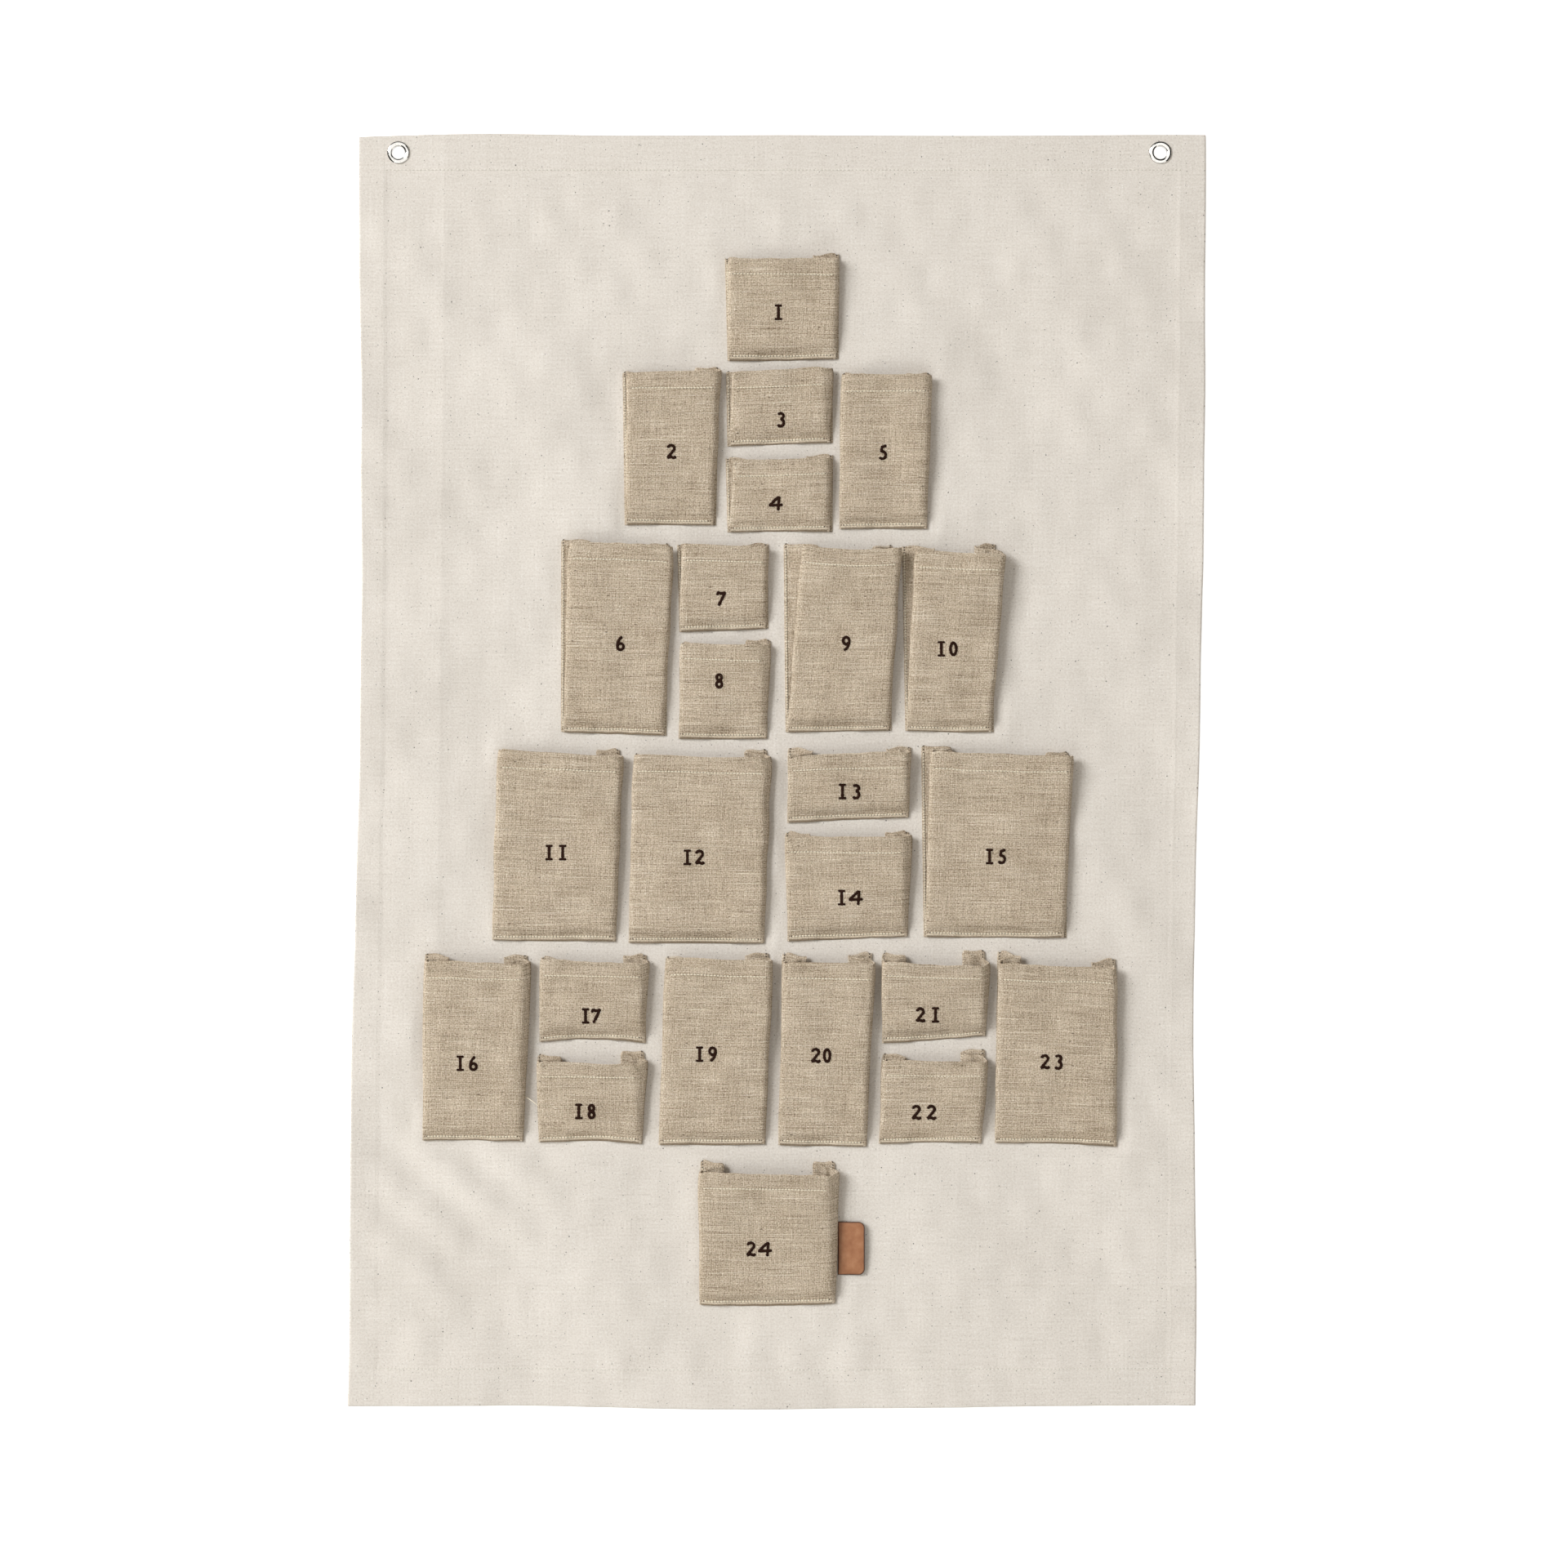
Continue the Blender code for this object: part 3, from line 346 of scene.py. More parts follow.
def make_canvas():
    """Natural cotton canvas, woven plain from even yarn at 18 threads to the centimetre, unbleached.

    It is a warm off-white, matt and dense. Bits of cotton seed show as small grey-brown specks and knots of
    fibre as pale ones; thicker yarns give faint lines both ways.
    """
    made, tree, shader = new_material(
        "natural_cotton_canvas", Roughness=0.94, Specular_IOR_Level=0.15, Sheen_Weight=0.03
    )
    place = node(tree, "UVMap", uv_map="cloth")
    height = weave(tree, place, 0.00056, 0.0006)
    grain = patches(tree, place, (700.0, 700.0, 1.0), 3.0)
    weft = patches(tree, place, (26.0, 700.0, 1.0))
    warp = patches(tree, place, (700.0, 22.0, 1.0))
    cloud = patches(tree, place, (15.0, 15.0, 1.0), 3.0)
    # painted shade: the weave's height lightens each thread's crown and darkens the hollows between the threads
    tone = summed(tree, 0.5, (height, 0.25), (grain, 1.1), (weft, 0.35), (warp, 0.25), (cloud, 0.12))
    stops = ((0.0, "#C7BEB2"), (1.0, "#F9F5EF"), (0.35, "#E0D8CD"), (0.6, "#E9E2D8"))
    base = node(tree, "ValToRGB", [tone], stops=stops)
    for per_metre, reach, strength, tint in (
        (150.0, 0.070, 0.75, "#6A6053"), (300.0, 0.085, 0.55, "#857B6D"), (170.0, 0.080, 0.60, "#FBF9F3"),
        (45.0, 0.026, 0.85, "#463D33"),
    ):
        fleck = times(tree, flecks(tree, place, (per_metre, per_metre, 1.0), reach), strength)
        base = tinted(tree, base, fleck, tint)
    relief = summed(tree, 0.5, (height, 1.0), (grain, 1.4), (weft, 0.6), (warp, 0.6))
    finish_shader(tree, shader, base, relief, 0.6, 0.00018)
    return made


def make_thread(name, dark, light, ply, specular=0.3):
    """Sewing or embroidery yarn: plies twisted round each other show as a fine shimmer of two close tones."""
    made, tree, shader = new_material(name, Roughness=0.7, Specular_IOR_Level=specular)
    twist = patches(tree, node(tree, "TexCoord", out=3), [1 / ply] * 3)
    base = node(tree, "ValToRGB", [twist], stops=((0.3, dark), (0.7, light)))
    finish_shader(tree, shader, base, twist, 0.5, ply / 4)
    return made


def make_nickel():
    """Polished nickel plate on pressed brass: a warm silver mirror with fine marks from the press and the barrel."""
    made, tree, shader = new_material("polished_nickel", Metallic=1.0)
    marks = patches(tree, node(tree, "TexCoord", out=3), [900.0] * 3, 3.0)
    base = node(tree, "ValToRGB", [marks], stops=((0.3, "#C9C6C0"), (0.7, "#D8D5D0")))
    worn = node(tree, "MapRange", {0: marks, 1: 0.3, 2: 0.7, 3: 0.07, 4: 0.16})
    tree.links.new(worn, shader.inputs["Roughness"])
    finish_shader(tree, shader, base, marks, 0.1, 0.00002)
    return made


def make_leather():
    """Vegetable-tanned cowhide, tan, with a fine pebble grain; its cut edge and rim are burnished dark."""
    made, tree, shader = new_material("tan_cowhide", Specular_IOR_Level=0.4)
    place = node(tree, "TexCoord", out=3)
    edge = node(tree, "Attribute", out=2, attribute_name="edge")
    grain = node(tree, "TexVoronoi", {"Vector": place, "Scale": 1 / 0.0007})
    cloud = patches(tree, place, [170.0] * 3, 4.0)
    base = node(tree, "ValToRGB", [cloud], stops=((0.25, "#8A5836"), (0.8, "#AE7D58"), (0.52, "#9D6A47")))
    rim = node(tree, "MapRange", {0: edge, 1: 0.1, 2: 0.9})
    base = tinted(tree, base, rim, "#3F2518")
    relief = summed(tree, 0.5, (grain, 1.0), (cloud, 0.6))
    worn = node(tree, "MapRange", {0: cloud, 1: 0.3, 2: 0.7, 3: 0.42, 4: 0.58})
    tree.links.new(worn, shader.inputs["Roughness"])
    finish_shader(tree, shader, base, relief, 0.35, 0.0001)
    return made


# Mesh making


def add_piece(name, points, faces, material, marks=None, **maps):
    """One object at the origin from points and arrays of faces; maps are its UV maps, with a pair for each point."""
    mesh = bpy.data.meshes.new(name)
    points = np.asarray(points, float).reshape(-1, 3)
    corners = np.concatenate([part.ravel() for part in faces]).astype(np.int32)
    sizes = np.concatenate([np.full(len(part), part.shape[1]) for part in faces])
    mesh.vertices.add(len(points))
    mesh.vertices.foreach_set("co", points.ravel())
    mesh.loops.add(len(corners))
    mesh.loops.foreach_set("vertex_index", corners)
    mesh.polygons.add(len(sizes))
    mesh.polygons.foreach_set("loop_start", np.concatenate([[0], np.cumsum(sizes)[:-1]]).astype(np.int32))
    mesh.polygons.foreach_set("use_smooth", np.ones(len(sizes), bool))
    for title, pairs in maps.items():
        layer = mesh.uv_layers.new(name=title)
        layer.data.foreach_set("uv", np.asarray(pairs, float).reshape(-1, 2)[corners].ravel())
    if marks is not None:
        mesh.attributes.new("edge", "FLOAT", "POINT").data.foreach_set("value", np.asarray(marks, float).ravel())
    mesh.update(calc_edges=True)
    mesh.validate()
    mesh.materials.append(material)
    made = bpy.data.objects.new(name, mesh)
    bpy.context.scene.collection.objects.link(made)
    return made


def grid_faces(rows, columns):
    """Quads over a grid of points numbered row by row."""
    start = (np.arange(rows - 1)[:, None] * columns + np.arange(columns - 1)).ravel()
    return np.stack([start, start + 1, start + columns + 1, start + columns], 1)


def ring_faces(rings, sides, closed=False):
    """Quads between rings of points, numbered ring by ring; a closed run joins its last ring to its first."""
    ring, side = np.meshgrid(np.arange(rings if closed else rings - 1), np.arange(sides), indexing="ij")
    after, ring_after = (side + 1) % sides, (ring + 1) % rings
    one = [ring * sides + side, ring * sides + after, ring_after * sides + after, ring_after * sides + side]
    return np.stack(one, -1).reshape(-1, 4)


def unit(vectors):
    """Vectors at length 1."""
    return vectors / np.maximum(np.linalg.norm(vectors, axis=-1, keepdims=True), 1e-12)


def slopes(points):
    """The directions along the rows and along the columns of a grid of points."""
    return np.gradient(points, axis=1), np.gradient(points, axis=0)


def cloth_shell(front, back, bulge):
    """A closed shell from two grids: the front and the back, joined round the rim over a rounded edge.

    The rim's own ring lies midway between the two edges, pushed outwards by bulge along the cloth. Gives the
    points and the faces; rows run along the first axis, and the front is seen with columns to the right and
    rows downwards.
    """
    rows, columns = front.shape[:2]
    count = rows * columns
    number = np.arange(count).reshape(rows, columns)
    loop = np.concatenate([number[0, :-1], number[:-1, -1], number[-1, :0:-1], number[:0:-1, 0]])
    inner = number.copy()
    inner[0], inner[-1] = number[1], number[-2]
    inner[:, 0], inner[:, -1] = inner[:, 1], inner[:, -2]
    middle = (front + back).reshape(-1, 3) / 2
    ring = middle[loop] + bulge * unit(middle[loop] - middle[inner.ravel()[loop]])
    rim = 2 * count + np.arange(len(loop))
    face = grid_faces(rows, columns)
    after = np.roll(loop, -1)
    rim_after = np.roll(rim, -1)
    faces = [
        face[:, ::-1],
        face + count,
        np.stack([loop, after, rim_after, rim], 1),
        np.stack([rim, rim_after, after + count, loop + count], 1),
    ]
    return np.concatenate([front.reshape(-1, 3), back.reshape(-1, 3), ring]), faces, loop


def thread_tubes(paths, ups, radius, sides=5):
    """Closed tubes along many paths at once, paths of shape (threads, rings, 3).

    Each ring is a circle in the plane across the path, and its radius may change from ring to ring. Both ends are
    closed by one face.
    """
    threads, rings = paths.shape[:2]
    along = unit(np.gradient(paths, axis=1))
    ups = np.broadcast_to(ups[:, None, :] if ups.ndim == 2 else ups, paths.shape)
    aside = unit(np.cross(along, ups))
    lift = np.cross(aside, along)
    turn = 2 * math.pi * np.arange(sides) / sides
    radius = np.broadcast_to(radius, (threads, rings))[:, :, None, None]
    points = paths[:, :, None, :] + radius * (
        np.cos(turn)[None, None, :, None] * aside[:, :, None, :]
        + np.sin(turn)[None, None, :, None] * lift[:, :, None, :]
    )
    starts = (np.arange(threads) * rings * sides)[:, None, None]
    quads = (ring_faces(rings, sides)[None] + starts).reshape(-1, 4)
    first = (np.arange(sides)[::-1][None] + starts[:, :, 0]).reshape(-1, sides)
    last = ((rings - 1) * sides + np.arange(sides)[None] + starts[:, :, 0]).reshape(-1, sides)
    return points, [quads, first, last]


def smooth(share):
    """Eases from 0 to 1 by 3s^2 - 2s^3."""
    share = np.clip(share, 0, 1)
    return share * share * (3 - 2 * share)


def waves(seed, count, short, long, height):
    """Wrinkles as a sum of sine waves, each with its own direction, length and phase; gives a function of x and z."""
    rng = np.random.default_rng(seed)
    turn, phase = rng.uniform(0, math.pi, count), rng.uniform(0, 2 * math.pi, count)
    length, size = rng.uniform(short, long, count), height * rng.uniform(0.5, 1.0, count)

    def field(x, z):
        total = np.zeros(np.broadcast(x, z).shape)
        for t, p, w, s in zip(turn, phase, length, size):
            total = total + s * np.sin(2 * math.pi * (x * math.cos(t) + z * math.sin(t)) / w + p)
        return total

    return field


# Pockets read from the frame


def read_pocket(number):
    """One pocket's place and size from the model, with its own measures and wrinkles."""
    left, right, drop, gape = SHARES[number]
    inset, roll, *measures = (one / 1000 for one in MEASURES[number])
    folds, foot, head, (sag, bulge), shifts = (measures[a:b] for a, b in ((0, 2), (2, 5), (5, 7), (7, 9), (9, 13)))
    x, y, z = JOINTS[f"pocket_{number:02d}_open"]["pos_m"]
    low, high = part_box(f"pocket_{number:02d}")
    height = high.z - low.z
    leftward, rightward = max(0.0, -left * height), max(0.0, right * height)
    width = 2 * (min(x - low.x - leftward, high.x - x - rightward) - linen_cloth / 2)
    return SimpleNamespace(
        number=number, x=x, y=y, z=z, width=width, height=height, leans=(left, right), drop=drop, gape=gape,
        inset=inset, roll=roll, folds=folds, foot=foot, head=head, sag=sag, bulge=bulge, shifts=shifts,
        dents=waves(100 + number, 6, 0.026, 0.080, 0.00034),
        edges=waves(200 + number, 2, 0.035, 0.080, 0.00030), brim=waves(300 + number, 3, 0.012, 0.050, 0.00022),
    )


def panel_sides(p, level):
    """The front's left and right edges at a level, and how wide the round of each edge is.

    Each edge leans away from its foot in a straight line and wanders a little; its round grows towards the top.
    """
    up = np.clip(level / p.height, 0, 1)
    near = smooth(level / 0.02)
    left = p.inset * (0.25 + 0.75 * up) + p.leans[0] * level + p.edges(0.07, level) * near + 0.0008 * up**24
    right = p.width + p.leans[1] * level - p.edges(0.31, level) * near - 0.0006 * up**24 - 0.0016 + 0.0010 * up
    return left, right, 0.0009 + 0.0006 * up, 0.0020 + (p.roll - 0.0014) * up**0.8


def panel_point(p, share, level):
    """The front panel: (x, depth) at a share of the way from its left edge to its right.

    At the seam it lies on the folds beside it and on the canvas between them. From there it eases out to the
    belly and runs straight to the mouth, with the bulge as a half sine over the height, dents that grow upwards,
    edges that fall away as exp(-distance) and a shallow groove under the hem.
    """
    left, right, round_left, round_right = panel_sides(p, level)
    start, stop = left + round_left, right - round_right
    x = start + (stop - start) * share
    inside = np.minimum(share, 1 - share) * (stop - start)
    seam = linen_clear + linen_cloth / 2 + 2 * layer_step * (1 - smooth((inside - pleat_depth - 0.001) / 0.006))
    mouth = mouth_depth * p.gape
    belly = mouth * belly_share
    rise = np.clip((level - belly_height) / (p.height - belly_height), 0, 1)
    open_depth = belly + (mouth - belly) * rise + p.bulge * np.sin(math.pi * rise**0.6)
    open_depth = open_depth + p.dents(x, level) * smooth(level / 0.025) - 0.0006 * np.exp(-inside / 0.0014)
    groove = (level - (p.height - pocket_hem - 0.0022)) / 0.0016
    open_depth = open_depth - 0.00035 * np.exp(-groove * groove)
    return x, seam + (open_depth - seam) * smooth((level - seam_height) / (belly_height - seam_height) * 0.85)


def pocket_point(p, place, level):
    """A point of a pocket's folded strip of linen, as (x from the left, depth, height above the bottom edge).

    place runs along the strip: 0-1 the sewn flange, 1-2 the gusset's back layer in to the pleat, 2-3 round the
    pleat, 3-4 the front layer back out, 4-5 round the edge in half a blunt diamond, 5-6 the front panel, then 6-11 the
    same at the right, mirrored. Heights fall away towards the front by the drop, as the square of the level; the
    foot, the head and the tops of the folds are raised or lowered as fitted. Where the front's inset is small, the
    flange follows its edge, so that it stays hidden behind the front.
    """
    place, level = np.broadcast_arrays(np.asarray(place, float), np.asarray(level, float))
    right = place > 5.5
    side = np.where(right, 11 - place, place)
    share = np.clip(side - np.floor(np.minimum(side, 4.999)), 0, 1)
    up = np.clip(level / p.height, 0, 1)
    left_edge, right_edge, round_left, round_right = panel_sides(p, level)
    edge = np.where(right, p.width - right_edge, left_edge)
    reach = np.where(right, round_right, round_left)
    in_hem = smooth((level - (p.height - pocket_hem - 0.0012)) / 0.0012)
    flange = linen_clear + linen_cloth / 2 + hem_step * in_hem
    radius = layer_step / 2
    face = np.maximum(panel_point(p, np.where(right, 1.0, 0.0), level)[1], flange + 2 * layer_step)
    half = np.clip(np.maximum(0.0011, 1.1 * reach), radius, (face - flange) / 2 - radius)
    middle = flange + radius + (face - flange - 2 * radius - 2 * half) / 2
    pleat = pleat_depth + edge / 2
    swell = np.clip((face - flange) / 0.008, 0, 1)
    turn = math.pi * share
    crumple = np.sin(2.3 * math.pi * side + p.number) + 0.25 * np.sin(5.1 * math.pi * side + 3 * p.number)
    crumple = swell * up**6 * crumple
    hug = 0.85 * np.maximum(edge, 0) if p.inset < hugging_inset else 0.0
    ruffle = (0.0006 * swell + 0.0010 * crumple) * np.sin(turn)
    lies = [
        (hug + flange_width * share, flange),
        (
            hug + flange_width + (pleat - hug - flange_width) * share,
            flange + (middle - radius - flange) * smooth(share) ** 0.8,
        ),
        (pleat + radius * np.sin(turn), middle - radius * np.cos(turn)),
        (
            pleat + (edge + reach - pleat) * share,
            middle + radius + (face - 2 * half - middle - radius) * share + ruffle,
        ),
        (
            edge + reach * (1 - np.abs(np.sin(turn)) ** 1.9),
            face - half - half * np.sign(np.cos(turn)) * np.abs(np.cos(turn)) ** 1.9,
        ),
    ]
    index = [(side >= low) & (side < low + 1) for low in range(5)]
    x = np.select(index, [one[0] for one in lies], 0.0)
    depth = np.select(index, [one[1] for one in lies], 0.0)
    x = np.where(right, p.width - x, x)
    front = (place >= 5) & (place <= 6)
    across = np.clip(place - 5, 0, 1)
    panel_x, panel_depth = panel_point(p, across, level)
    x = np.where(front, panel_x, x)
    depth = np.where(front, np.maximum(panel_depth, linen_clear + linen_cloth / 2), depth)
    fallen = p.drop * p.height * up**2 * np.clip(depth / face, 0, 1)
    fold = np.where(right, p.folds[1], p.folds[0]) + 0.0006 * np.sin(1.6 * math.pi * side + 2 * p.number)
    fold = fold + 0.0009 * np.cos(math.pi * (side - 1) / 2)
    fallen = fallen - fold * up**8 * smooth((4.7 - side) / 1.2) * ~front
    head = p.head[0] + (p.head[1] - p.head[0]) * across
    peak = 0.0010 * np.exp(-np.minimum(across, 1 - across) * p.width / 0.0022)
    sag = p.sag * np.sin(math.pi * across) + p.brim(x, 0.0) + peak
    fallen = fallen - (head * up**2 - sag * up**6) * np.where(front, 1.0, smooth((side - 3) / 1.4))
    rest = np.clip(x / p.width, 0, 1)
    foot_left, top_left, foot_right, top_right = p.shifts
    left_shift = foot_left + (top_left - foot_left) * up
    right_shift = foot_right + (top_right - foot_right) * up
    x = x + (1 - rest) * left_shift + rest * right_shift
    foot = (1 - rest) * (1 - 2 * rest) * p.foot[0] + 4 * rest * (1 - rest) * p.foot[1]
    foot = foot + rest * (2 * rest - 1) * p.foot[2]
    return x, depth, level - fallen + (foot + 0.5 * p.brim(x, 0.4)) * (1 - up) ** 1.5


def pocket_world(p, place, level):
    """Points of the strip in the frame, of shape (..., 3)."""
    x, depth, height = pocket_point(p, place, level)
    return np.stack([p.x - p.width / 2 + x, p.y - depth, p.z + height], -1)


def front_spot(p, share, level):
    """Points on the front panel's face and the directions out of it, for stitches and numerals."""
    share, level = np.broadcast_arrays(np.clip(share, 0.004, 0.996), level)
    place = 5 + share
    along = pocket_world(p, place + 0.004, level) - pocket_world(p, place - 0.004, level)
    upward = pocket_world(p, place, level + 0.0004) - pocket_world(p, place, level - 0.0004)
    out = unit(np.cross(along, upward))
    return pocket_world(p, place, level) + out * linen_cloth / 2, out


def front_place(p, x, height):
    """The share and level of the front panel at places given from the pocket's left and above its foot.

    Found by stepping back the difference between where the last guess lies and where it should.
    """
    share, level = x / p.width, np.array(height, float)
    for _ in range(6):
        reached, _, risen = pocket_point(p, 5 + np.clip(share, 0, 1), level)
        share, level = share + (x - reached) / p.width, level + height - risen
    return share, level


def seam_rows(p):
    """The rows of stitches on the front and on the flanges: their levels, their counts and how they wander."""
    span = p.width - 0.0045
    return SimpleNamespace(
        hem=p.height - pocket_hem + 0.0010, foot=seam_height + 0.0001, hem_count=int(span / hem_stitch),
        foot_count=int(span / foot_stitch), side_count=int((p.height - 0.008) / side_stitch), margin=0.00225 / p.width,
        wander=lambda share: 0.00035 * np.sin(share * p.width / 0.021 + p.number),
    )


def seam_map(p, places, levels):
    """For each point of the strip, (stitches along the nearest row, distance from that row in metres)."""
    rows = seam_rows(p)
    place, level = np.meshgrid(places, levels)
    share = (place - 5 - rows.margin) / (1 - 2 * rows.margin)
    high = level > p.height / 2
    along = share * np.where(high, rows.hem_count, rows.foot_count)
    beside = level - np.where(high, rows.hem, rows.foot) - rows.wander(place - 5)
    flange = (place <= 1) | (place >= 10)
    inward = np.where(place > 5.5, 11 - place, place)
    along = np.where(flange, (level - 0.004) / (p.height - 0.008) * rows.side_count, along)
    beside = np.where(high, np.abs(beside), beside)
    beside = np.where(flange, np.abs(inward - 0.45) * flange_width, beside)
    known = flange | ((place >= 5) & (place <= 6))
    return np.stack([np.where(known, along, 0.0), np.where(known, beside, 0.02)], -1)


def pocket_grid(p):
    """The places and levels of the strip's grid, closer together at folds, at the seam and round the top."""
    half = [(0, 1, 3), (1, 2, 9), (2, 3, 6), (3, 4, 9), (4, 5, 7)]
    left = np.concatenate([np.linspace(a, b, n)[:-1] for a, b, n in half])
    front = np.linspace(5, 6, int(p.width / 0.002) + 2)
    places = np.concatenate([left, front, 11 - left[::-1]])
    low = [0.0, 0.0008, 0.0016, 0.0024, 0.0031, 0.0038, 0.0048, 0.006, 0.0075]
    hem = p.height - pocket_hem
    count = max(4, int((hem - 0.0105) / 0.0022))
    body = np.linspace(0.0092, hem - 0.0016, count)
    top = np.concatenate([[hem - 0.001, hem - 0.0004, hem + 0.0002], np.linspace(hem + 0.0016, p.height, 7)])
    return places, np.concatenate([low, body, top])


def build_pocket(number, linen, sewing, satin, fibre):
    """One pocket: the folded strip with its turned top hem, its stitching, its numeral and its loose fibres."""
    p = read_pocket(number)
    places, levels = pocket_grid(p)
    points = pocket_world(p, places[None, :], levels[:, None])
    along, upward = slopes(points)
    normals = unit(np.cross(along, upward))
    top, out, rise = points[-1], normals[-1], np.array([0.0, 0.0, 1.0])
    turned = hem_step / 2
    swing = np.linspace(0, math.pi, 6)[1:]
    rolled = np.array([top - out * turned * (1 - math.cos(t)) + rise * turned * math.sin(t) for t in swing])
    rolled_normals = np.array([unit(out * math.cos(t) + rise * math.sin(t)) for t in swing])
    inside = levels > p.height - pocket_hem
    tucked = (points[inside] - normals[inside] * hem_step)[::-1][1:]
    grid = np.concatenate([points, rolled, tucked])
    normal = np.concatenate([normals, rolled_normals, -normals[inside][::-1][1:]])
    outer, inner = grid + normal * linen_cloth / 2, grid - normal * linen_cloth / 2
    shell, faces, loop = cloth_shell(outer[::-1], inner[::-1], linen_cloth / 4)
    steps = np.linalg.norm(np.diff(grid[len(levels) // 2], axis=0), axis=1)
    u = np.concatenate([[0], np.cumsum(steps)]) + 0.23 * p.number
    v = np.concatenate([levels, p.height + turned * swing, 2 * p.height + math.pi * turned - levels[inside][::-1][1:]])
    cloth = np.stack(np.broadcast_arrays(u[None, :], v[:, None] + 0.31 * (p.number % 7)), -1)
    heights = np.concatenate([levels, np.full(len(v) - len(levels), p.height)])
    seam = seam_map(p, places, np.minimum(heights, p.height))
    maps = {name: one[::-1].reshape(-1, 2) for name, one in (("cloth", cloth), ("seam", seam))}
    maps = {name: np.concatenate([one, one, one[loop]]) for name, one in maps.items()}
    body = f"pocket_{number:02d}"
    pocket = add_piece(f"linen_{body}", shell, faces, linen, **maps)
    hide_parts(body)
    seams, numeral, lint = build_seams(p, sewing), build_numeral(p, satin), build_lint(p, fibre)
    for piece in (pocket, seams, lint):
        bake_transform(piece)
    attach(numeral, body)


def stitch_paths(starts, ends, ups, radius):
    """Paths of short stitches: each rises from the cloth at its start, lies on it and dips in at its end."""
    share = np.array([0.0, 0.14, 0.5, 0.86, 1.0])
    lift = radius * np.array([-0.7, 0.40, 0.65, 0.40, -0.7])
    return starts[:, None] + (ends - starts)[:, None] * share[None, :, None] + ups[:, None] * lift[None, :, None]


def build_seams(p, sewing):
    """All the sewing of one pocket: the hem's row, the bottom seam's row and a row down each flange."""
    rows = seam_rows(p)
    made = []
    for count, level in ((rows.hem_count, rows.hem), (rows.foot_count, rows.foot)):
        ends = [rows.margin + (np.arange(count) + gap) * (1 - 2 * rows.margin) / count for gap in (0.13, 0.87)]
        one, two = (front_spot(p, share, level + rows.wander(share)) for share in ends)
        made.append((one[0], two[0], unit(one[1] + two[1])))
    for place in (0.45, 10.55):
        pitch = (p.height - 0.008) / rows.side_count
        ends = [0.004 + (np.arange(rows.side_count) + gap) * pitch for gap in (0.15, 0.85)]
        one, two = (pocket_world(p, place, level) - [0.0, linen_cloth / 2, 0.0] for level in ends)
        made.append((one, two, np.broadcast_to([0.0, -1.0, 0.0], one.shape)))
    starts, ends, ups = (np.concatenate([row[i] for row in made]) for i in range(3))
    points, faces = thread_tubes(stitch_paths(starts, ends, ups, stitch_radius), ups, stitch_radius)
    seams = add_piece(f"pocket_stitching_{p.number:02d}", points, faces, sewing)
    return seams


def build_lint(p, fibre):
    """Loose flax fibres: short curved hairs that lie on the front, most of them near the edges and the top."""
    rng = np.random.default_rng(500 + p.number)
    count = 34
    share = np.where(rng.random(count) < 0.5, rng.uniform(0.05, 0.95, count), rng.choice([0.01, 0.99], count))
    level = p.height * np.where(rng.random(count) < 0.35, rng.uniform(0.93, 0.985, count), rng.uniform(0.1, 0.9, count))
    root, up = front_spot(p, share, level)
    turn = rng.uniform(-0.7, 0.7, count) + np.where(rng.random(count) < 0.5, 0, math.pi)
    aim = np.stack([np.cos(turn), np.zeros(count), np.sin(turn)], 1)
    length = rng.uniform(0.0015, 0.0042, count)[:, None, None]
    run = np.linspace(0, 1, 6)[None, :, None]
    curl = rng.uniform(-0.35, 0.35, (count, 1, 1))
    bend = np.cross(aim, up)[:, None, :]
    stand = rng.uniform(0.05, 0.30, (count, 1, 1))
    hair = aim[:, None] * run + bend * curl * run**2 + up[:, None] * stand * np.sin(math.pi * run * 0.75)
    paths = root[:, None] - up[:, None] * 0.00005 + length * hair
    points, faces = thread_tubes(paths, up, np.linspace(0.00011, 0.00005, 6)[None, :], sides=4)
    lint = add_piece(f"loose_fibres_{p.number:02d}", points, faces, fibre)
    return lint


# Numerals: each is a width and a set of strokes in shares of its height, from its left bottom corner

numeral_height = 0.0112
numeral_stroke = 0.0022
serif_stroke = 0.0018
numeral_thickness = 0.0008
rib_pitch = 0.00038


def arc(across, up, reach, rise, start, stop, steps=24):
    """Points of an elliptic arc between two angles in degrees."""
    turns = np.radians(np.linspace(start, stop, steps + 1))
    return [(across + reach * math.cos(t), up + rise * math.sin(t)) for t in turns]


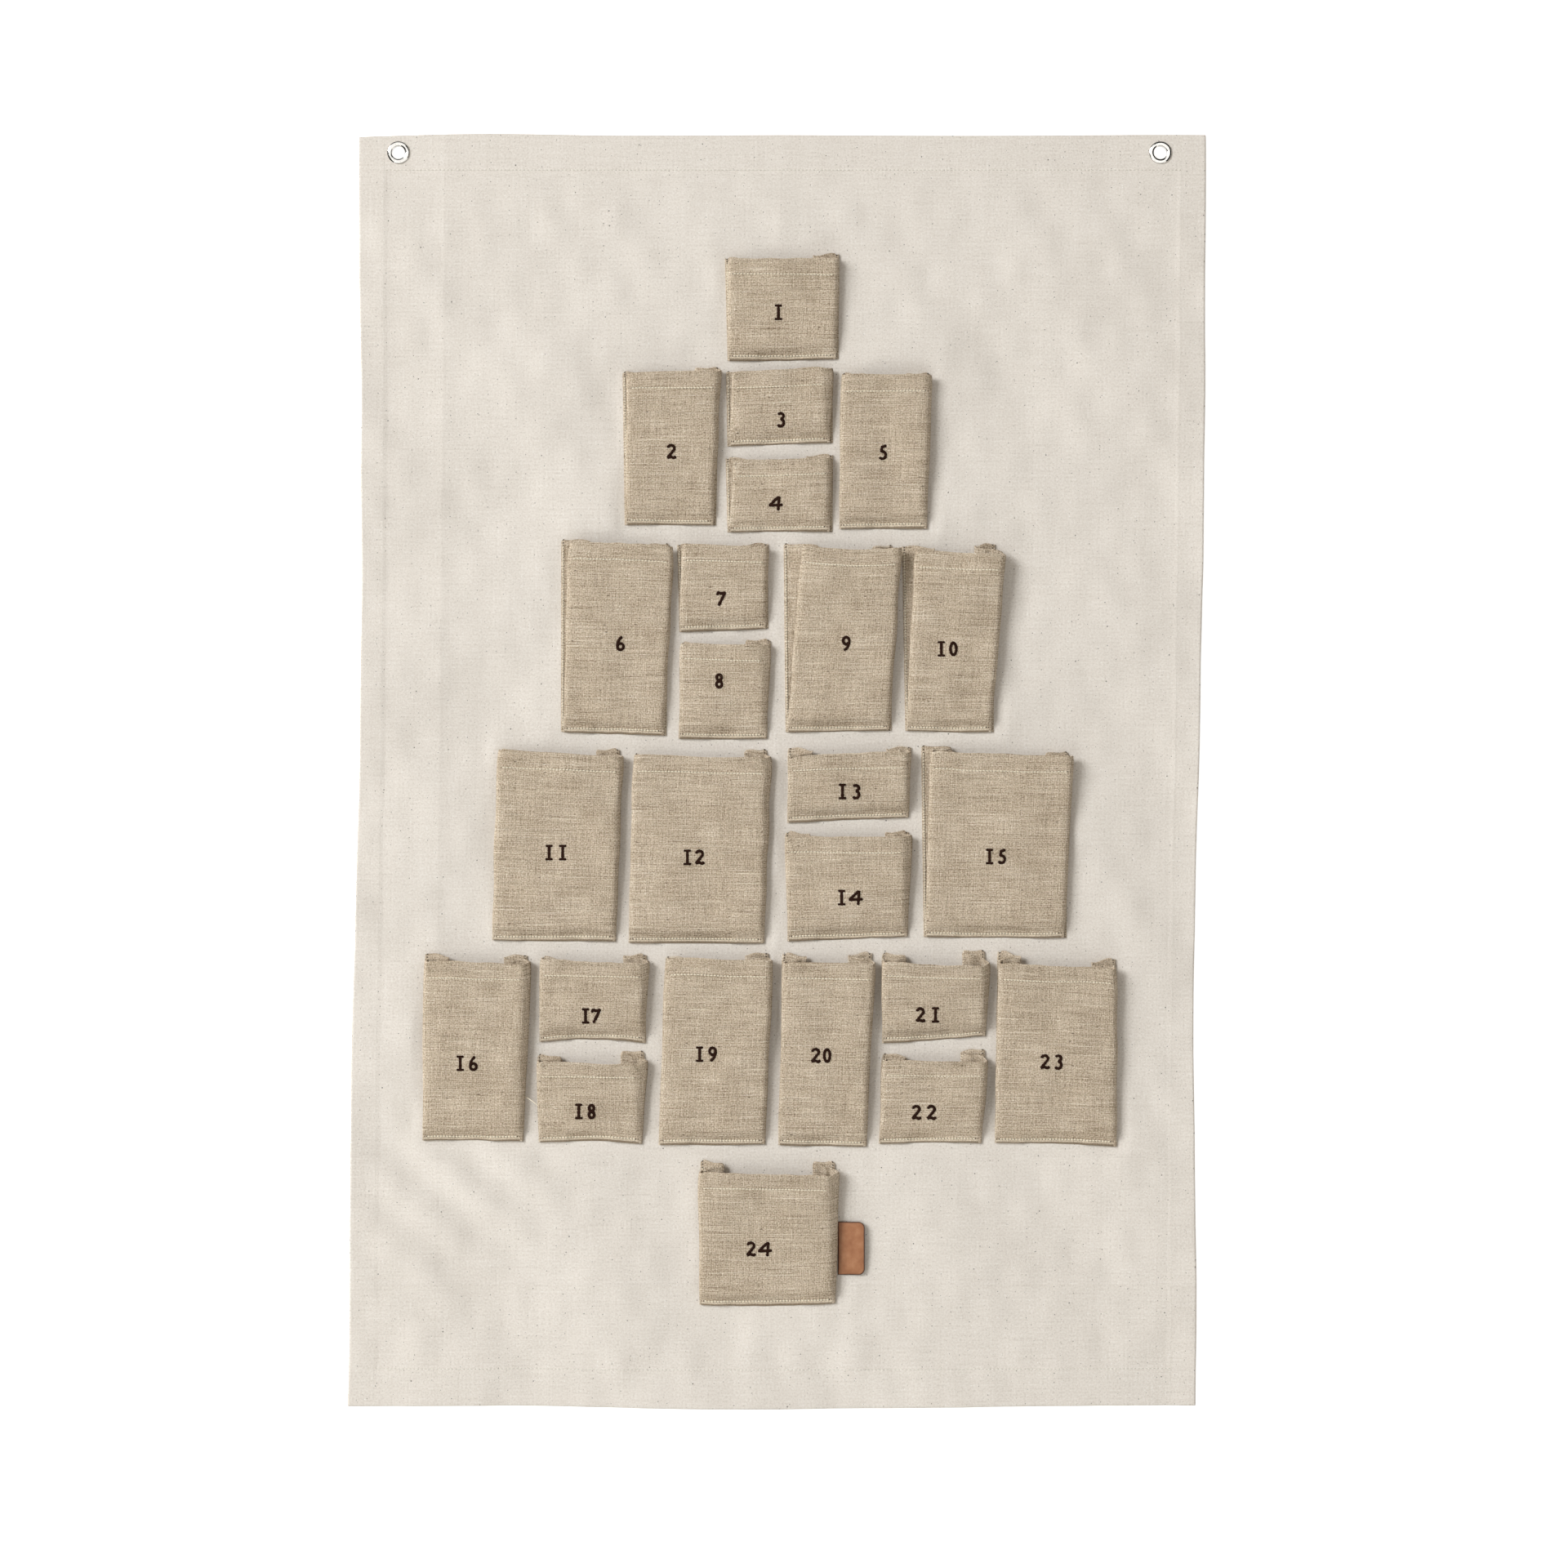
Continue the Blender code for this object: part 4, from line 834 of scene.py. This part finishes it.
GLYPHS = {
    "0": (0.54, [(arc(0.27, 0.50, 0.18, 0.38, 0, 360), True)]),
    "1": (0.42, [
        ([(0.21, 0.06), (0.21, 0.94)], False),
        ([(-0.03, 0.08), (0.45, 0.08)], False),
        ([(-0.02, 0.92), (0.44, 0.92)], False),
    ]),
    "2": (0.70, [
        (arc(0.32, 0.71, 0.20, 0.19, 175, -38) + [(0.10, 0.13), (0.30, 0.18), (0.48, 0.10), (0.63, 0.20)], False),
    ]),
    "3": (0.52, [(arc(0.25, 0.72, 0.17, 0.17, 155, -100), False), (arc(0.24, 0.30, 0.20, 0.22, 98, -152), False)]),
    "4": (0.94, [
        ([(0.66, 0.93), (0.36, 0.66), (0.08, 0.37), (0.90, 0.41)], False),
        ([(0.67, 0.95), (0.60, 0.04)], False),
    ]),
    "5": (0.54, [([(0.50, 0.93), (0.22, 0.84), (0.17, 0.58)] + arc(0.24, 0.33, 0.21, 0.23, 90, -150), False)]),
    "6": (0.54, [(arc(0.27, 0.29, 0.19, 0.20, 0, 360), True), (arc(0.56, 0.34, 0.48, 0.60, 182, 110), False)]),
    "7": (0.60, [([(0.05, 0.72), (0.12, 0.89), (0.34, 0.82), (0.55, 0.88), (0.36, 0.48), (0.14, 0.05)], False)]),
    "8": (0.50, [(arc(0.25, 0.28, 0.17, 0.19, 0, 360), True), (arc(0.25, 0.71, 0.15, 0.18, 0, 360), True)]),
    "9": (0.56, [(arc(0.30, 0.68, 0.19, 0.22, 0, 360), True), (arc(0.02, 0.64, 0.47, 0.58, 2, -74), False)]),
}


def resample(points, closed, step):
    """Even steps along a line of points; a closed line comes back to its first point."""
    points = np.array(points, float)
    if closed and np.linalg.norm(points[0] - points[-1]) > 1e-9:
        points = np.concatenate([points, points[:1]])
    run = np.concatenate([[0], np.cumsum(np.linalg.norm(np.diff(points, axis=0), axis=1))])
    count = max(6, int(run[-1] / step))
    at = np.linspace(0, run[-1], count + 1)
    line = np.stack([np.interp(at, run, points[:, i]) for i in (0, 1)], 1)
    return line, at


def satin_stroke(stroke, start, width, height, layer, rng):
    """One satin-stitched stroke as a closed ribbed pad, in the plane of the numeral.

    The profile across the stroke is a half ellipse on a flat foot. Along the stroke its height and width swell
    and shrink as |sin| of the run over the thread pitch, so that each thread shows, and both fall to a third at
    the ends. Gives (across, up, out) for every point, and the faces.
    """
    stroke, closed = stroke
    line, run = resample(stroke, closed, rib_pitch / 3)
    line, run = line[:-1] if closed else line, run[:-1] if closed else run
    ahead = unit(np.roll(line, -1, 0) - np.roll(line, 1, 0) if closed else np.gradient(line, axis=0))
    aside = np.stack([-ahead[:, 1], ahead[:, 0]], 1)
    rib = np.abs(np.sin(math.pi * run / rib_pitch))
    jitter = 1 + 0.16 * rng.uniform(-1, 1, int(run[-1] / rib_pitch) + 2)[(run / rib_pitch).astype(int)]
    ends = np.ones(len(run)) if closed else np.clip(np.minimum(run, run[-1] - run) / 0.00045, 0.25, 1) ** 0.5
    half = width / 2 * jitter * (0.90 + 0.10 * rib) * ends
    tall = (height - layer * 0.00004) * (0.62 + 0.38 * rib) * ends
    turn = np.radians([0, 28, 62, 90, 118, 152, 180])
    over, up = np.cos(turn), np.sin(turn)
    points = np.empty((len(line), len(turn), 3))
    points[:, :, :2] = line[:, None] + aside[:, None] * (half[:, None] * over)[:, :, None]
    points[:, :, 2] = tall[:, None] * up - 0.00012 * (up < 0.1)
    points[:, :, 0] += start
    rows, sides = points.shape[:2]
    faces = [ring_faces(rows, sides, closed)[:, [0, 3, 2, 1]]]
    if not closed:
        faces += [np.arange(sides)[None], ((rows - 1) * sides + np.arange(sides)[::-1])[None]]
    return points.reshape(-1, 3), faces


def build_numeral(p, satin):
    """The pocket's numeral in satin stitch, laid on the front panel's own surface."""
    rng = np.random.default_rng(600 + p.number)
    low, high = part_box(f"number_{p.number:02d}")
    pitch, right, up = (one / 1000 for one in NUMERALS[p.number])
    centre = (low.x + high.x) / 2 + right - (p.x - p.width / 2)
    height = (low.z + high.z) / 2 + up - p.z - numeral_height / 2
    digits = str(p.number)
    middle = centre - (GLYPHS[digits[-1]][0] - GLYPHS[digits[0]][0]) * numeral_height / 4
    points, faces, count = [], {4: [], 7: []}, 0
    for index, digit in enumerate(digits):
        width, strokes = GLYPHS[digit]
        start = middle + (index - (len(digits) - 1) / 2) * pitch - width * numeral_height / 2
        for layer, (line, closed) in enumerate(strokes):
            scaled = [(a * numeral_height, b * numeral_height) for a, b in line]
            breadth = serif_stroke if digit == "1" and layer else numeral_stroke
            made, parts = satin_stroke((scaled, closed), start, breadth, numeral_thickness, layer, rng)
            points.append(made)
            for part in parts:
                faces[part.shape[1]].append(part + count)
            count += len(made)
    flat = np.concatenate(points)
    spot, normal = front_spot(p, *front_place(p, flat[:, 0], height + flat[:, 1]))
    faces = [np.concatenate(part) for part in faces.values() if part]
    numeral = add_piece(f"embroidered_{p.number:02d}", spot + normal * flat[:, 2:], faces, satin)
    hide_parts(f"number_{p.number:02d}")
    return numeral


# Canvas

PLACES = [read_pocket(number) for number in SHARES]
fine_wrinkles = waves(7, 9, 0.022, 0.070, 0.00018)
long_wrinkles = waves(8, 5, 0.090, 0.220, 0.00080)
edge_wander = waves(9, 3, 0.120, 0.260, 0.00050)

# Lines across and down the canvas where it was folded for storage
FOLDS_ACROSS = (0.0605, 0.2985, 0.532)
FOLDS_DOWN = (0.8145,)


def hump(share, middle, reach):
    """A smooth hill of height 1 at its middle that falls to nothing its reach away."""
    return smooth(1 - np.abs(share - middle) / reach)


def calm(across, down):
    """0 behind the pockets, where the canvas lies flat, rising to 1 over 8 mm around each."""
    x = across - eyelet_inset - eyelet_spacing / 2 + hang_drift * (down - eyelet_drop) / canvas_height
    z = eyelet_drop - down
    free = np.ones(np.broadcast(across, down).shape)
    for p in PLACES:
        out_x = np.maximum(np.abs(x - p.x) - p.width / 2 - 0.001, 0)
        out_z = np.maximum(np.maximum(p.z - z, z - p.z - p.height) - 0.001, 0)
        free = free * smooth(np.hypot(out_x, out_z) / 0.008)
    for centre in (-1, 1):
        free = free * smooth((np.hypot(x - centre * eyelet_spacing / 2, z) - 0.009) / 0.02)
    return free


def crease(distance, sharp, broad):
    """A pressed fold: a sharp and a broad ridge that fall away as exp of minus the distance over their widths."""
    return sharp * np.exp(-np.abs(distance) / 0.0007) + broad * np.exp(-np.abs(distance) / 0.018)


def canvas_relief(across, down):
    """How far the canvas stands off its flat plane.

    Its hems show as a low step at their sewn lines. Over them lie wrinkles, pressed storage folds, edges and foot
    that curl forward as the square of their nearness, slanting ripples at the lower left and upright ones above
    the bottom hem.
    """
    beside = np.minimum(across, canvas_width - across)
    edge = np.clip(1 - beside / side_border, 0, 1)
    foot = np.clip(1 - (canvas_height - down) / bottom_border, 0, 1)
    fade = smooth((down - top_hem) / 0.15)
    hem = np.maximum(side_hem - beside, np.maximum(top_hem - down, down - canvas_height + bottom_hem))
    print_through = 0.00022 * smooth(0.5 + hem / 0.0035)
    relief = side_curl * edge**2 * fade * (0.6 + 0.4 * np.cos(2 * math.pi * down / curl_length))
    relief = relief + foot_curl * foot**2 * (0.5 + 0.5 * np.cos(2 * math.pi * across / curl_length))
    relief = relief + fine_wrinkles(across, down) * smooth(down / 0.06) + long_wrinkles(across, down) * fade
    for place, broad in zip(FOLDS_ACROSS, (0.0005, 0.0003, -0.0004)):
        relief = relief + crease(across - place, 0.00003, broad)
    for place in FOLDS_DOWN:
        relief = relief + crease(down - place, 0.00042, 0.0004) * smooth((across - 0.005) / 0.03)
    slant = (across * 0.62 + (canvas_height - down) * 0.78) / 0.034
    patch = np.exp(-(((across - 0.075) / 0.07) ** 2) - ((down - 0.735) / 0.065) ** 2)
    relief = relief + 0.0014 * patch * np.sin(2 * math.pi * slant + 1.0)
    upright = np.sin(2 * math.pi * across / 0.052 + 3 * np.sin(across / 0.05))
    relief = relief + 0.0005 * upright * np.exp(-(((canvas_height - bottom_hem - 0.006 - down) / 0.02) ** 2))
    return relief * calm(across, down) + print_through + 0.0002


def canvas_point(across, down, depth):
    """World place of a point of the canvas, depth away from the plane of its back."""
    across, down, depth = np.broadcast_arrays(across, down, depth)
    edge = np.clip(1 - np.minimum(across, canvas_width - across) / side_border, 0, 1)
    foot = np.clip(1 - (canvas_height - down) / bottom_border, 0, 1)
    share = down / canvas_height
    at_left = across < canvas_width / 2
    draw = np.where(at_left, left_draw * hump(share, 0.40, 0.42), -right_draw * hump(share, 0.66, 0.34))
    x = across - eyelet_inset - eyelet_spacing / 2 + hang_drift * (down - eyelet_drop) / canvas_height
    x = x + (draw + 0.6 * edge_wander(0.0, down)) * edge**2
    z = eyelet_drop - down - bottom_dip * foot**2 * hump(across / canvas_width, 0.5, 0.3)
    head = np.clip(1 - down / 0.03, 0, 1)
    z = z + 0.7 * edge_wander(across, 0.4) * (head**2 + foot**2)
    z = z + head**2 * (0.0009 * hump(across, 0.1, 0.09) - 0.0012 * np.exp(-across / 0.03))
    return np.stack([x, -depth - canvas_relief(across, down), z], -1)


def mesh_lines(length, step, sharp):
    """Even places along a length, with close ones at its rims and round each sharp place."""
    near = np.array([-0.0026, -0.0012, -0.0005, 0.0, 0.0005, 0.0012, 0.0026])
    close = np.concatenate([place + near for place in sharp] + [[0.0012, length - 0.0012]])
    plain = np.linspace(0, length, int(length / step) + 1)
    plain = plain[np.min(np.abs(plain[:, None] - close), axis=1) > 0.0006]
    return np.unique(np.concatenate([[0.0, length], plain, close]))


def build_canvas(cotton):
    """The hemmed sheet as one closed shell, its hems double and folded to the back, with a hole for each eyelet."""
    across = mesh_lines(canvas_width, 0.0041, FOLDS_ACROSS + (side_hem, canvas_width - side_hem))
    down = mesh_lines(canvas_height, 0.0041, FOLDS_DOWN + (top_hem, canvas_height - bottom_hem))
    a, d = np.meshgrid(across, down)
    hemmed = (np.minimum(a, canvas_width - a) <= side_hem) | (d <= top_hem) | (d >= canvas_height - bottom_hem)
    front = canvas_point(a, d, canvas_face)
    back = canvas_point(a, d, np.where(hemmed, 0.0, canvas_cloth))
    shell, faces, loop = cloth_shell(front, back, canvas_cloth / 2)
    flat = np.stack([a, canvas_height - d], -1).reshape(-1, 2)
    canvas = add_piece("canvas_cloth", shell, faces, cotton, cloth=np.concatenate([flat, flat + 0.011, flat[loop]]))
    for side in (-1, 1):
        bpy.ops.mesh.primitive_cylinder_add(
            vertices=48, radius=hole_radius + barrel_wall + eyelet_clear, depth=0.02,
            location=(side * eyelet_spacing / 2, 0, 0), rotation=(math.pi / 2, 0, 0),
        )
        punch = bpy.context.object
        cut = canvas.modifiers.new("eyelet_hole", "BOOLEAN")
        cut.operation = "DIFFERENCE"
        cut.object = punch
        punched = bpy.data.meshes.new_from_object(canvas.evaluated_get(bpy.context.evaluated_depsgraph_get()))
        canvas.modifiers.remove(cut)
        canvas.data = punched
        bpy.data.objects.remove(punch)
    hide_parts("canvas_panel")
    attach(canvas, "canvas")
    return canvas


def build_hem_stitches(cotton_thread):
    """The four hems' rows of stitches, each stitch on the canvas face; the sides' are drawn in tighter and finer."""
    rows = []
    inset = side_hem - hem_stitch_inset
    low, high = top_hem - 0.0006, canvas_height - bottom_hem + 0.0010
    runs = {
        "top": ((inset, low), (canvas_width - inset, low), 0.00030),
        "bottom": ((inset, high), (canvas_width - inset, high), 0.00030),
        "left": ((inset, 0.002), (inset, canvas_height - 0.002), 0.00010),
        "right": ((canvas_width - inset, 0.002), (canvas_width - inset, canvas_height - 0.002), 0.00010),
    }
    up = np.array([0.0, -1.0, 0.0])
    for name, (start, stop, radius) in runs.items():
        start, stop = np.array(start), np.array(stop)
        length = np.linalg.norm(stop - start)
        count = int(length / canvas_stitch)
        along = (stop - start) / length
        middle = start + along * ((np.arange(count) + 0.5) * length / count)[:, None]
        half = along * 0.36 * canvas_stitch
        one, two = middle - half, middle + half
        starts, ends = (canvas_point(end[:, 0], end[:, 1], canvas_face) for end in (one, two))
        ups = np.broadcast_to(up, starts.shape)
        points, faces = thread_tubes(stitch_paths(starts, ends, ups, radius), ups, radius)
        row = add_piece(f"hem_stitching_{name}", points, faces, cotton_thread)
        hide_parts(f"hem_thread_{name}")
        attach(row, "canvas")
        rows.append(row)
    return rows


def build_loose_end(sewing):
    """The loose end of thread that stands off the canvas between two pockets of the lowest row but one."""
    run = np.linspace(0, 1, 12)
    x, z = -0.1812 + 0.0112 * run, -0.6688 - 0.0066 * run**1.4
    y = -canvas_face - 0.0020 - 0.0045 * smooth(run / 0.9)
    points, faces = thread_tubes(np.stack([x, y, z], 1)[None], np.array([[0.0, -1.0, 0.0]]), 0.00038)
    loose = add_piece("loose_thread_end", points, faces, sewing)
    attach(loose, "canvas")
    return loose


def turned(name, profile, centre, material):
    """A ring turned about an eyelet's axis: a closed profile of (radius, y), carried round in even steps."""
    radius, y = np.array(profile).T
    turn = 2 * math.pi * np.arange(turned_steps) / turned_steps
    across, up = (radius[None] * one[:, None] for one in (np.cos(turn), np.sin(turn)))
    points = np.stack([centre + across, np.broadcast_to(y, across.shape), up], -1)
    return add_piece(name, points, [ring_faces(turned_steps, len(y), True)], material)


def build_eyelets(nickel):
    """Each eyelet, pressed from sheet: a domed flange on the face, the barrel and its rolled end, and the washer."""
    made = []
    front = -canvas_face - eyelet_clear
    outer = hole_radius + barrel_wall
    rim, dome_height = outer + flange_reach, 0.0008
    back = 2 * eyelet_clear + washer_thickness + 0.0006
    middle, reach = (hole_radius + rim) / 2, (rim - hole_radius) / 2
    dome = [(middle + reach * u, front - flange_height + dome_height * u * u) for u in np.linspace(-0.98, 0.98, 15)]
    profile = [(hole_radius, front), *dome, (rim, front - flange_height + dome_height + 0.0001)]
    profile += [(rim - 0.0002, front + 0.0002), (outer + 0.0004, front + 0.0001), (outer, front + 0.0006)]
    roll = [
        (outer + 0.0006 + 0.0006 * math.cos(t), back - 0.0005 + 0.0005 * math.sin(t))
        for t in np.linspace(math.pi * 0.95, -0.1, 7)
    ]
    profile += [(outer, back - 0.0006), *roll[::-1], (hole_radius, back - 0.0004)]
    bore = outer + eyelet_clear
    brim = bore + washer_reach
    washer = [
        (bore, eyelet_clear), (brim, eyelet_clear), (brim + 0.0001, eyelet_clear + washer_thickness / 2),
        (brim - 0.0002, eyelet_clear + washer_thickness * 0.9), (bore, eyelet_clear + washer_thickness),
    ]
    for side, place in (("left", -1), ("right", 1)):
        centre = place * eyelet_spacing / 2
        for name, outline in ((f"eyelet_{side}", profile), (f"eyelet_washer_{side}", washer)):
            ring = turned(f"nickel_{name}", outline, centre, nickel)
            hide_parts(name)
            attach(ring, "canvas")
            made.append(ring)
    return made


# Leather tab


def build_tab(cowhide):
    """The tab: a rounded slab of leather that bends off the canvas towards its free end, its edge burnished.

    It is a stack of outlines, each the tab's rounded rectangle drawn in by the edge's round, and closed in the
    middle by rings that shrink to a line.
    """
    low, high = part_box("leather_tab")
    low.x -= tab_root
    length, tall = high.x - low.x, high.z - low.z
    straight, shoulder = length - tab_corner, tall / 2 - tab_corner

    def rounded(height, start, stop):
        """Twelve points of a rounded corner at the free end, about its middle's height, between two angles."""
        turns = np.linspace(start, stop, 12)
        return [(straight + tab_corner * math.cos(t), height + tab_corner * math.sin(t)) for t in turns]

    right = rounded(shoulder, 0, math.pi / 2)
    top = [(x, tall / 2) for x in np.linspace(straight, 0, 8)[1:]]
    left = [(0.0, z) for z in np.linspace(tall / 2, -tall / 2, 16)[1:]]
    bottom = [(x, -tall / 2) for x in np.linspace(0, straight, 8)[1:]]
    lower = rounded(-shoulder, -math.pi / 2, 0)[1:]
    free = [(length, z) for z in np.linspace(-shoulder, shoulder, 14)[1:-1]]
    outline = np.array(right + top + left + bottom + lower + free)
    middles = np.clip(outline[:, 1], -tall / 2 + length / 2, tall / 2 - length / 2)
    spine = np.stack([np.full(len(outline), length / 2), middles], 1)
    inward = unit(spine - outline)
    reach = np.linalg.norm(spine - outline, axis=1, keepdims=True)
    rings, marks = [], []
    for drawn, height, mark in (
        (1.0, 1.0, 0), (0.7, 1.0, 0), (0.4, 1.0, 0), (0.0014, 1.0, 0.1), (0.0009, 0.98, 0.35), (0.0004, 0.93, 0.8),
        (0.0001, 0.75, 1), (0.0, 0.5, 1), (0.0001, 0.25, 1), (0.0004, 0.07, 0.9), (0.0012, 0.0, 0.5), (0.4, 0.0, 0.2),
        (1.0, 0.0, 0.2),
    ):
        draw = drawn * reach * 0.999 if drawn >= 0.4 else drawn
        flat = outline + inward * draw
        lift = 0.06 * flat[:, 0] + 0.0009 * smooth(flat[:, 0] / length) * np.cos(math.pi * flat[:, 1] / tall)
        depth = high.y - tab_thickness * height - lift
        rings.append(np.stack([low.x + flat[:, 0], depth, (low.z + high.z) / 2 + flat[:, 1]], 1))
        marks.append(np.full(len(flat), float(mark)))
    points = np.array(rings)
    faces = ring_faces(len(rings), points.shape[1])[:, [0, 3, 2, 1]]
    tab = add_piece("cowhide_tab", points, [faces], cowhide, marks=np.array(marks))
    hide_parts("leather_tab")
    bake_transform(tab)
    return tab


# Stage, light and camera


def seen_share(tree):
    """1 for rays from the camera, mirrors and glass, and 0 for the rays that light things."""
    ways = [node(tree, "LightPath", out=name) for name in ("Is Camera Ray", "Is Glossy Ray", "Is Transmission Ray")]
    first = node(tree, "Math", ways[:2], operation="MAXIMUM")
    return node(tree, "Math", [first, ways[2]], operation="MAXIMUM")


def build_stage():
    """A white wall close behind the calendar, a pale floor below it and felt cards that stand out from the wall.

    Wall and floor are matt white and add a little of their own light where they are looked at, so that they show
    white and keep the calendar's shadow. The wall's back face is clear, so that the calendar can be seen from
    behind, but its front keeps the light off the canvas's back, which shows dark. Only the eyelets' polish sees the
    cards.
    """
    made, tree, shader = new_material("matt_white_backdrop", Roughness=1.0, Specular_IOR_Level=0.0)
    shader.inputs["Base Color"].default_value = colour("#F2F2F0")
    strength = node(tree, "Math", [seen_share(tree), 0.72], operation="MULTIPLY")
    glow = node(tree, "Emission", {"Strength": strength})
    lit = node(tree, "AddShader", [shader.outputs[0], glow])
    behind = node(tree, "NewGeometry", out=6)
    shown = node(tree, "MixShader", [behind, lit, node(tree, "BsdfTransparent")])
    tree.links.new(shown, tree.nodes["Material Output"].inputs[0])
    wall_y, wall_top, floor_z, floor_front, reach = 0.0042, 2.5, -1.30, -5.0, 4.0
    quad = [np.array([[0, 1, 2, 3]])]
    for name, first, second in (
        ("backdrop_wall", (wall_y, floor_z), (wall_y, wall_top)),
        ("pale_floor", (floor_front, floor_z), (wall_y, floor_z)),
    ):
        corners = np.array([(-reach, *first), (reach, *first), (reach, *second), (-reach, *second)])
        add_piece(name, corners, quad, made)
    black, _, _ = new_material("black_felt", Roughness=1.0, Specular_IOR_Level=0.0, Base_Color=colour("#101010"))
    grey, _, _ = new_material("grey_felt", Roughness=1.0, Specular_IOR_Level=0.0, Base_Color=colour("#4A4A4A"))
    for name, low, high, felt in (
        ("left", (-0.75, -0.75, -0.75), (-0.75, -0.03, 0.15), black),
        ("right", (0.75, -0.75, -0.50), (0.75, -0.03, 0.60), black),
        ("above", (0.05, -0.90, 0.50), (0.90, -0.03, 0.50), grey),
        ("corner", (-0.75, -0.35, 0.50), (0.05, -0.03, 0.50), grey),
        ("below", (-0.75, -0.50, -1.00), (0.75, -0.03, -1.00), grey),
    ):
        (a, b, c), (d, e, f) = low, high
        corners = np.array([(a, b, c), (a, e, c if a == d else f), (d, e, f), (d, b, f if a == d else c)])
        card = add_piece(f"felt_card_{name}", corners, quad, felt)
        card.visible_camera = card.visible_diffuse = card.visible_shadow = False


def add_lamp(name, place, aim, size, power, tint):
    """A soft square lamp at a place, turned towards its aim."""
    light = bpy.data.lights.new(name, "AREA")
    light.shape, light.size, light.energy, light.color = "SQUARE", size, power, tint
    lamp = bpy.data.objects.new(name, light)
    bpy.context.scene.collection.objects.link(lamp)
    lamp.location = place
    lamp.rotation_euler = (Vector(aim) - Vector(place)).to_track_quat("-Z", "Y").to_euler()


def build_light():
    """A large key from the upper left, a weak fill and a warm room round them that shows white to the camera."""
    aim = (0.0, 0.0, -0.45)
    add_lamp("key", (-6.1, -5.1, 2.6), aim, 3.9, 690.0, (0.98, 1.0, 1.03))
    add_lamp("fill", (1.2, -2.8, -0.2), aim, 2.2, 4.5, (1.0, 1.0, 1.0))
    world = bpy.data.worlds.new("pale_room")
    bpy.context.scene.world = world
    world.use_nodes = True
    tree = world.node_tree
    background = tree.nodes["Background"]
    seen = seen_share(tree)
    tint = node(tree, "Mix", {0: seen, 6: (1.0, 0.92, 0.83, 1.0), 7: (1.0, 1.0, 1.0, 1.0)}, out=2, data_type="RGBA")
    tree.links.new(tint, background.inputs[0])
    mirrored = node(tree, "LightPath", out="Is Glossy Ray")
    strength = node(tree, "MapRange", {0: seen, 3: 0.235, 4: 1.0})
    strength = node(tree, "Math", [mirrored, 0.5, strength], operation="MULTIPLY_ADD")
    tree.links.new(strength, background.inputs[1])


def build_camera():
    """An 85 mm lens square to the canvas, far enough off for its 36 mm sensor to span 1.112 m at the canvas."""
    camera = bpy.data.cameras.new("camera")
    camera.lens, camera.sensor_width = 85.0, 36.0
    span = 1.112
    viewer = bpy.data.objects.new("camera", camera)
    bpy.context.scene.collection.objects.link(viewer)
    viewer.location = (0.0033, -span * camera.lens / camera.sensor_width, -0.4475)
    viewer.rotation_euler = (math.pi / 2, 0, 0)
    bpy.context.scene.camera = viewer


def main():
    build_camera()
    build_stage()
    build_light()
    bpy.context.scene.view_settings.view_transform = "Standard"
    linen, cotton = make_linen(), make_canvas()
    sewing = make_thread("cream_sewing_thread", "#E0D3B8", "#FBF3E1", 0.0003)
    cotton_thread = make_thread("natural_cotton_thread", "#E2DCD1", "#EFEBE2", 0.0003)
    satin = make_thread("dark_brown_embroidery_thread", "#190A04", "#351D11", 0.0002, 0.10)
    fibre = make_thread("loose_flax_fibre", "#6E5E47", "#C9BC9F", 0.002)
    nickel, cowhide = make_nickel(), make_leather()
    canvas = build_canvas(cotton)
    rows = build_hem_stitches(cotton_thread)
    rings = build_eyelets(nickel)
    loose = build_loose_end(sewing)
    for number in SHARES:
        build_pocket(number, linen, sewing, satin, fibre)
    build_tab(cowhide)


main()
